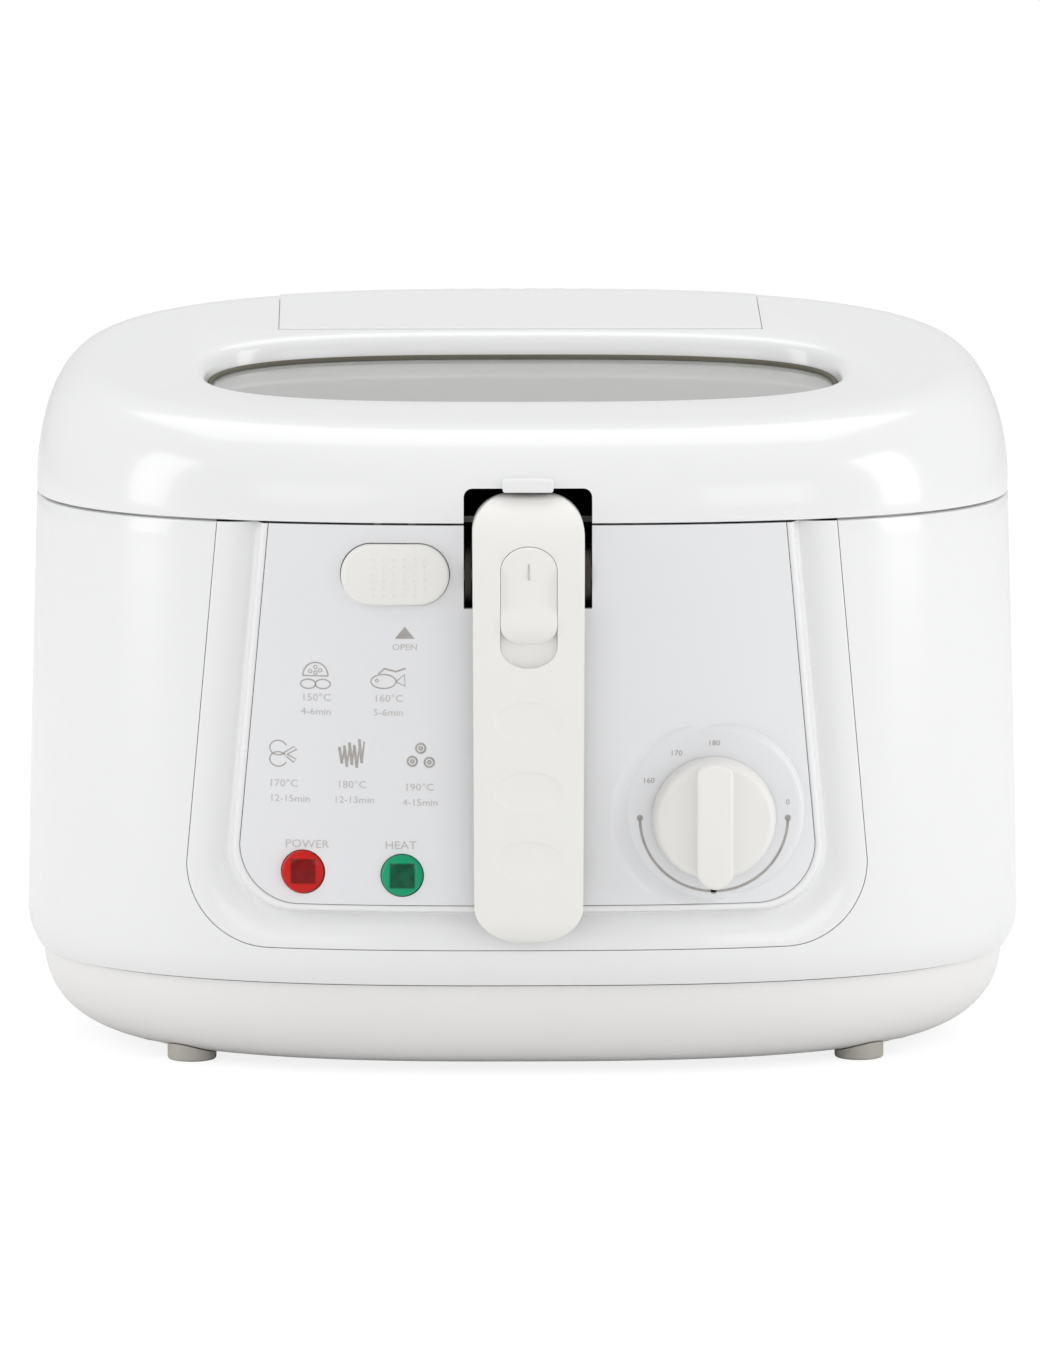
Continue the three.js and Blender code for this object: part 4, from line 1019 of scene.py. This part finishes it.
def lettering(words, x, z, size, stretch=1.0):
    clear()
    bpy.ops.object.text_add(rotation=(0, 0, 0))
    text = bpy.context.object
    text.data.body = words
    text.data.size = size * MM
    text.data.align_x = "CENTER"
    text.data.align_y = "CENTER"
    text.data.resolution_u = 2
    bpy.ops.object.convert(target="MESH")
    letters = bpy.context.object
    for vertex in letters.data.vertices:
        vertex.co = at(x + vertex.co.x / MM * stretch, PRINT_THICK, z + vertex.co.y / MM)
    edit(letters)
    bpy.ops.mesh.remove_doubles(threshold=0.00001)
    bpy.ops.mesh.flip_normals()
    clear()
    return letters


def circle(x, z, radius, steps):
    return arc(x, z, radius, radius, 0, 360, steps)


def icon_strokes():
    """Plain food signs: a mushroom, a fish, a drumstick, chips and doughnuts."""
    strokes = []

    def draw(points, width=0.42):
        strokes.append(ribbon(points, width))

    x, z = -72.5, 139.5
    draw(arc(x, z + 0.4, 4.3, 4.6, 0, 180, 20))
    draw([(x - 4.3, z + 0.4), (x + 4.3, z + 0.4)])
    for dx in (-2.5, 2.5):
        draw(arc(x + dx, z - 2.4, 2.6, 1.6, 0, 360, 18))
    for dx, dz in ((-1.8, 2), (1.6, 2.3), (0, 3.4), (0, 1.5)):
        draw(circle(x + dx, z + dz, 0.6, 10), 0.3)

    x, z = -47.5, 139.5
    draw(arc(x - 1.8, z - 1.2, 4.3, 2.4, 0, 360, 24))
    draw([(x + 2.4, z - 1.2), (x + 5.4, z + 1.2), (x + 5.6, z - 2.8), (x + 2.4, z - 1.2)])
    draw([(x - 3.5, z + 1.3), (x - 1.5, z + 3.2), (x + 2.5, z + 2.2), (x + 5.8, z + 3.4)], 0.6)
    draw(circle(x - 4, z - 0.9, 0.5, 10), 0.3)

    x, z = -83.6, 113
    draw(arc(x - 1.7, z + 1.9, 2.9, 2.5, 20, 330, 20))
    draw(arc(x - 1.7, z - 2, 2.9, 2.5, 30, 340, 20))
    draw([(x + 0.9, z + 0.6), (x + 3.6, z + 2.4), (x + 4.7, z + 1.5), (x + 1.3, z - 0.3)])
    draw([(x + 1, z - 1), (x + 3.5, z - 3), (x + 4.4, z - 1.9), (x + 1.3, z - 0.3)])

    x, z = -60.3, 113
    for k, (foot, head) in enumerate(((-3, 2.6), (-4.2, 3.2), (-3.4, 4.2), (-4.4, 3.4), (-2.8, 5.4))):
        lean = -3.6 + k * 1.7
        draw([(lean + x - 0.5, z + head), (lean + x + 0.4, z + foot)], 0.95)
        draw([(lean + x + 1.2, z + head - 0.8), (lean + x + 0.4, z + foot)], 0.5)

    x, z = -36.6, 113
    for dx, dz in ((0, 2.5), (-2.9, -2), (2.9, -2.3)):
        draw(circle(x + dx, z + dz, 1.6, 18), 0.7)
        draw(circle(x + dx, z + dz, 0.55, 10), 0.6)
    return strokes


def add_print():
    clear()
    bpy.ops.mesh.primitive_circle_add(vertices=3, radius=1, fill_type="NGON")
    arrow = bpy.context.object
    for vertex, (x, z) in zip(arrow.data.vertices, ((-45.4, 153), (-42, 157.1), (-38.6, 153))):
        vertex.co = at(x, PRINT_THICK, z)
    marks = [arrow] + icon_strokes()
    present(on_panel(gather(marks)), "panel_signs", "root", INK, angle=30)

    words = [("OPEN", -42, 150, 3.0), ("150°C", -72.3, 132.4, 3.5), ("4-6min", -72.3, 127.6, 3.3),
             ("160°C", -47.6, 132.4, 3.5), ("5-6min", -47.6, 127.6, 3.3), ("170°C", -83.6, 102.7, 3.5),
             ("12-15min", -81.4, 97.5, 3.3), ("180°C", -60.2, 102.7, 3.5), ("12-13min", -59.4, 97.5, 3.3),
             ("190°C", -37.2, 102, 3.5), ("4-15min", -36.8, 96.8, 3.3), ("POWER", -75.5, 82, 3.9),
             ("HEAT", -43.5, 82, 3.9)]
    letters = [lettering(text, x, z, size, 1.12) for text, x, z, size in words]
    present(on_panel(gather(letters)), "panel_words", "root", FAINT_INK, angle=30)

    centre, radius = (KNOB["x"], KNOB["z"]), 25.3
    dial = [ribbon(arc(*centre, radius, radius, 182, 358, 48), 0.9)]
    for degrees in (180, 270, 360):
        spot = polar(*centre, radius, radius, degrees)
        dial.append(ribbon(circle(*spot, 0.55, 14), 1.1))
    text_radius = radius + 0.5
    for text, degrees in (("160", 150), ("170", 120), ("180", 90), ("0", 12)):
        spot = polar(*centre, text_radius, text_radius, degrees)
        dial.append(lettering(text, *spot, 2.6, 1.1))
    ring = gather(dial)
    reshape(ring, lambda x, y, z: (x, KNOB["seat"] - y, z))
    present(ring, "dial_marks", "root", INK, angle=30)


# ---------- inside

def add_inside():
    top = 184.5
    deck = loft([(167.6, 123.6, top - 14), (167.6, 123.6, top), (165.1, 121.1, top)] +
                [(165.1, 121.1, top - 4), (165.1, 121.1, top - 14), (167.6, 123.6, top - 14)],
                ring_closed=True)
    plate = loft([(165.5, 121.5, top - 4), (165.5, 121.5, top)])
    weld(deck, plate)
    cut(deck, loft([(119, 93, 100), (119, 93, 210)], POT_PLAN))
    cut(deck, block(-28.5, 28.5, -140, -60, 100, 210), block(-54.8, -26, -140, -98, 100, 210))
    clear_front = front_cutter(BEZEL_EDGE, 1)
    keep = loft([(housing_half(z) - 6.4, housing_half(z) - 50.4, z) for z in (100, 140, 170, 210)])
    cut(clear_front, keep)
    cut(deck, clear_front)
    present(deck, "deck_ring", "root", SATIN, ["upper_deck"])

    bend, half_x, half_y, floor, rim, wall = 9, 118.5, 92.5, 44, 184.8, 1.5
    outside, inside = [], []
    for k in range(9):
        angle = k / 8 * math.pi / 2
        out, up = math.sin(angle) * bend - bend, bend - math.cos(angle) * bend
        outside.append((half_x + out, half_y + out, floor + up))
        inside.append((half_x + out - wall, half_y + out - wall, floor + wall + up))
    flange = [(half_x, half_y, rim - 0.6), (half_x + 0.6, half_y + 0.6, rim), (half_x + 6, half_y + 6, rim),
              (half_x + 6.5, half_y + 6.5, rim + 0.7), (half_x + 6, half_y + 6, rim + wall),
              (half_x - 0.4, half_y - 0.4, rim + wall), (half_x - wall, half_y - wall, rim + wall - 1)]
    pot = loft(outside + flange + inside[::-1], POT_PLAN)
    cut(pot, block(-28.5, 28.5, -140, -60, 130, 210))
    present(pot, "oil_vessel", "root", COATING, ["oil_pot"])

    gland = turned([(3.6, 16), (7, 16), (7, 4.6), (9, 4.6), (9, 1), (8.3, 0), (3.6, 0)], 70, 133, 58, 48, 1)
    present(gland, "cable_gland", "root", BLACK, ["cord_gland"])


def add_basket():
    y_mid, plan = 13.5, 2.8
    profile = [(121, 104, 70), (90, 102, 68), (59, 100, 66), (56, 98.5, 64.5), (54.4, 95, 61)]

    def halves(z):
        for (top, ax, ay), (bottom, bx, by) in zip(profile, profile[1:]):
            if bottom <= z <= top:
                share = (z - bottom) / (top - bottom)
                return bx + (ax - bx) * share, by + (ay - by) * share
        return profile[-1][1:]

    rings = []
    for k in range(13):
        z = 59 + k * 5
        half_x, half_y = halves(z)
        ring = []
        for j in range(88):
            angle = 2 * math.pi * j / 88
            ring.append((half_x * squarer(math.cos(angle), plan),
                         y_mid + half_y * squarer(math.sin(angle), plan), z))
        rings.append(ring)
    hoops = wire(rings, 0.45, closed=True)

    def wall_point(share, z, sideways):
        half_x, half_y = halves(z)
        half, other = (half_y, half_x) if sideways else (half_x, half_y)
        place = share * half
        reach = other * (1 - abs(share) ** plan) ** (1 / plan)
        return place, reach

    strands = []
    heights = [121, 105, 90, 75, 62, 59, 56.5, 54.8]
    for sideways, count in ((False, 41), (True, 27)):
        for k in range(count):
            share = -0.985 + 1.97 * k / (count - 1)
            down = [(*wall_point(share, z, sideways), z) for z in heights]
            path = down + [(place, -reach, z) for place, reach, z in reversed(down)]
            if sideways:
                strands.append([(reach, y_mid + place, z + 0.4) for place, reach, z in path])
            else:
                strands.append([(place, y_mid + reach, z - 0.4) for place, reach, z in path])
    mesh = gather([hoops, wire(strands, 0.45)])
    present(mesh, "wire_basket", "basket", WIRE_STEEL, ["basket_mesh"], 60)

    rim = loft([(107, 73, 122.5), (107, 73, 124.3), (106, 72, 125.3), (104, 70, 125.3), (103, 69, 124.3),
                (103, 69, 122.5), (104, 70, 121.5), (106, 72, 121.5), (107, 73, 122.5)], plan, y_mid,
               ring_closed=True)
    present(rim, "basket_hoop", "basket", WIRE_STEEL, ["basket_rim"], 60)


KEPT = [
    (STEEL, ["basket_yoke", "lift_lever_left", "lift_lever_right", "lift_pin", "drive_pin", "pivot_pin",
             "lever_pin", "hinge_pin", "hinge_spring_left", "hinge_spring_right", "latch_bracket",
             "latch_spring", "slider_spring", "lid_catch", "grease_filter", "heater_ring", "heat_shield",
             "thermostat_sensor", "thermostat_shaft"] + [f"base_screw_{k}" for k in range(1, 5)]),
    (BLACK, ["slot_liner", "latch_lever"]),
    (CERAMIC, ["thermal_cutout", "thermostat_body", "terminal_block", "power_lamp", "heat_lamp"]),
    (FELT, ["charcoal_filter"]),
]


def finish_kept():
    """Gives a finish to the pieces that stay as the plain design has them."""
    for material, names in KEPT:
        for name in names:
            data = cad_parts[name].data
            data.materials.clear()
            data.materials.append(material)


add_housing()
add_bezel()
add_panel()
add_base()
add_lid()
add_painted_notch_shade()
add_handle()
add_knob()
add_button()
add_lenses()
add_print()
add_inside()
add_basket()
finish_kept()
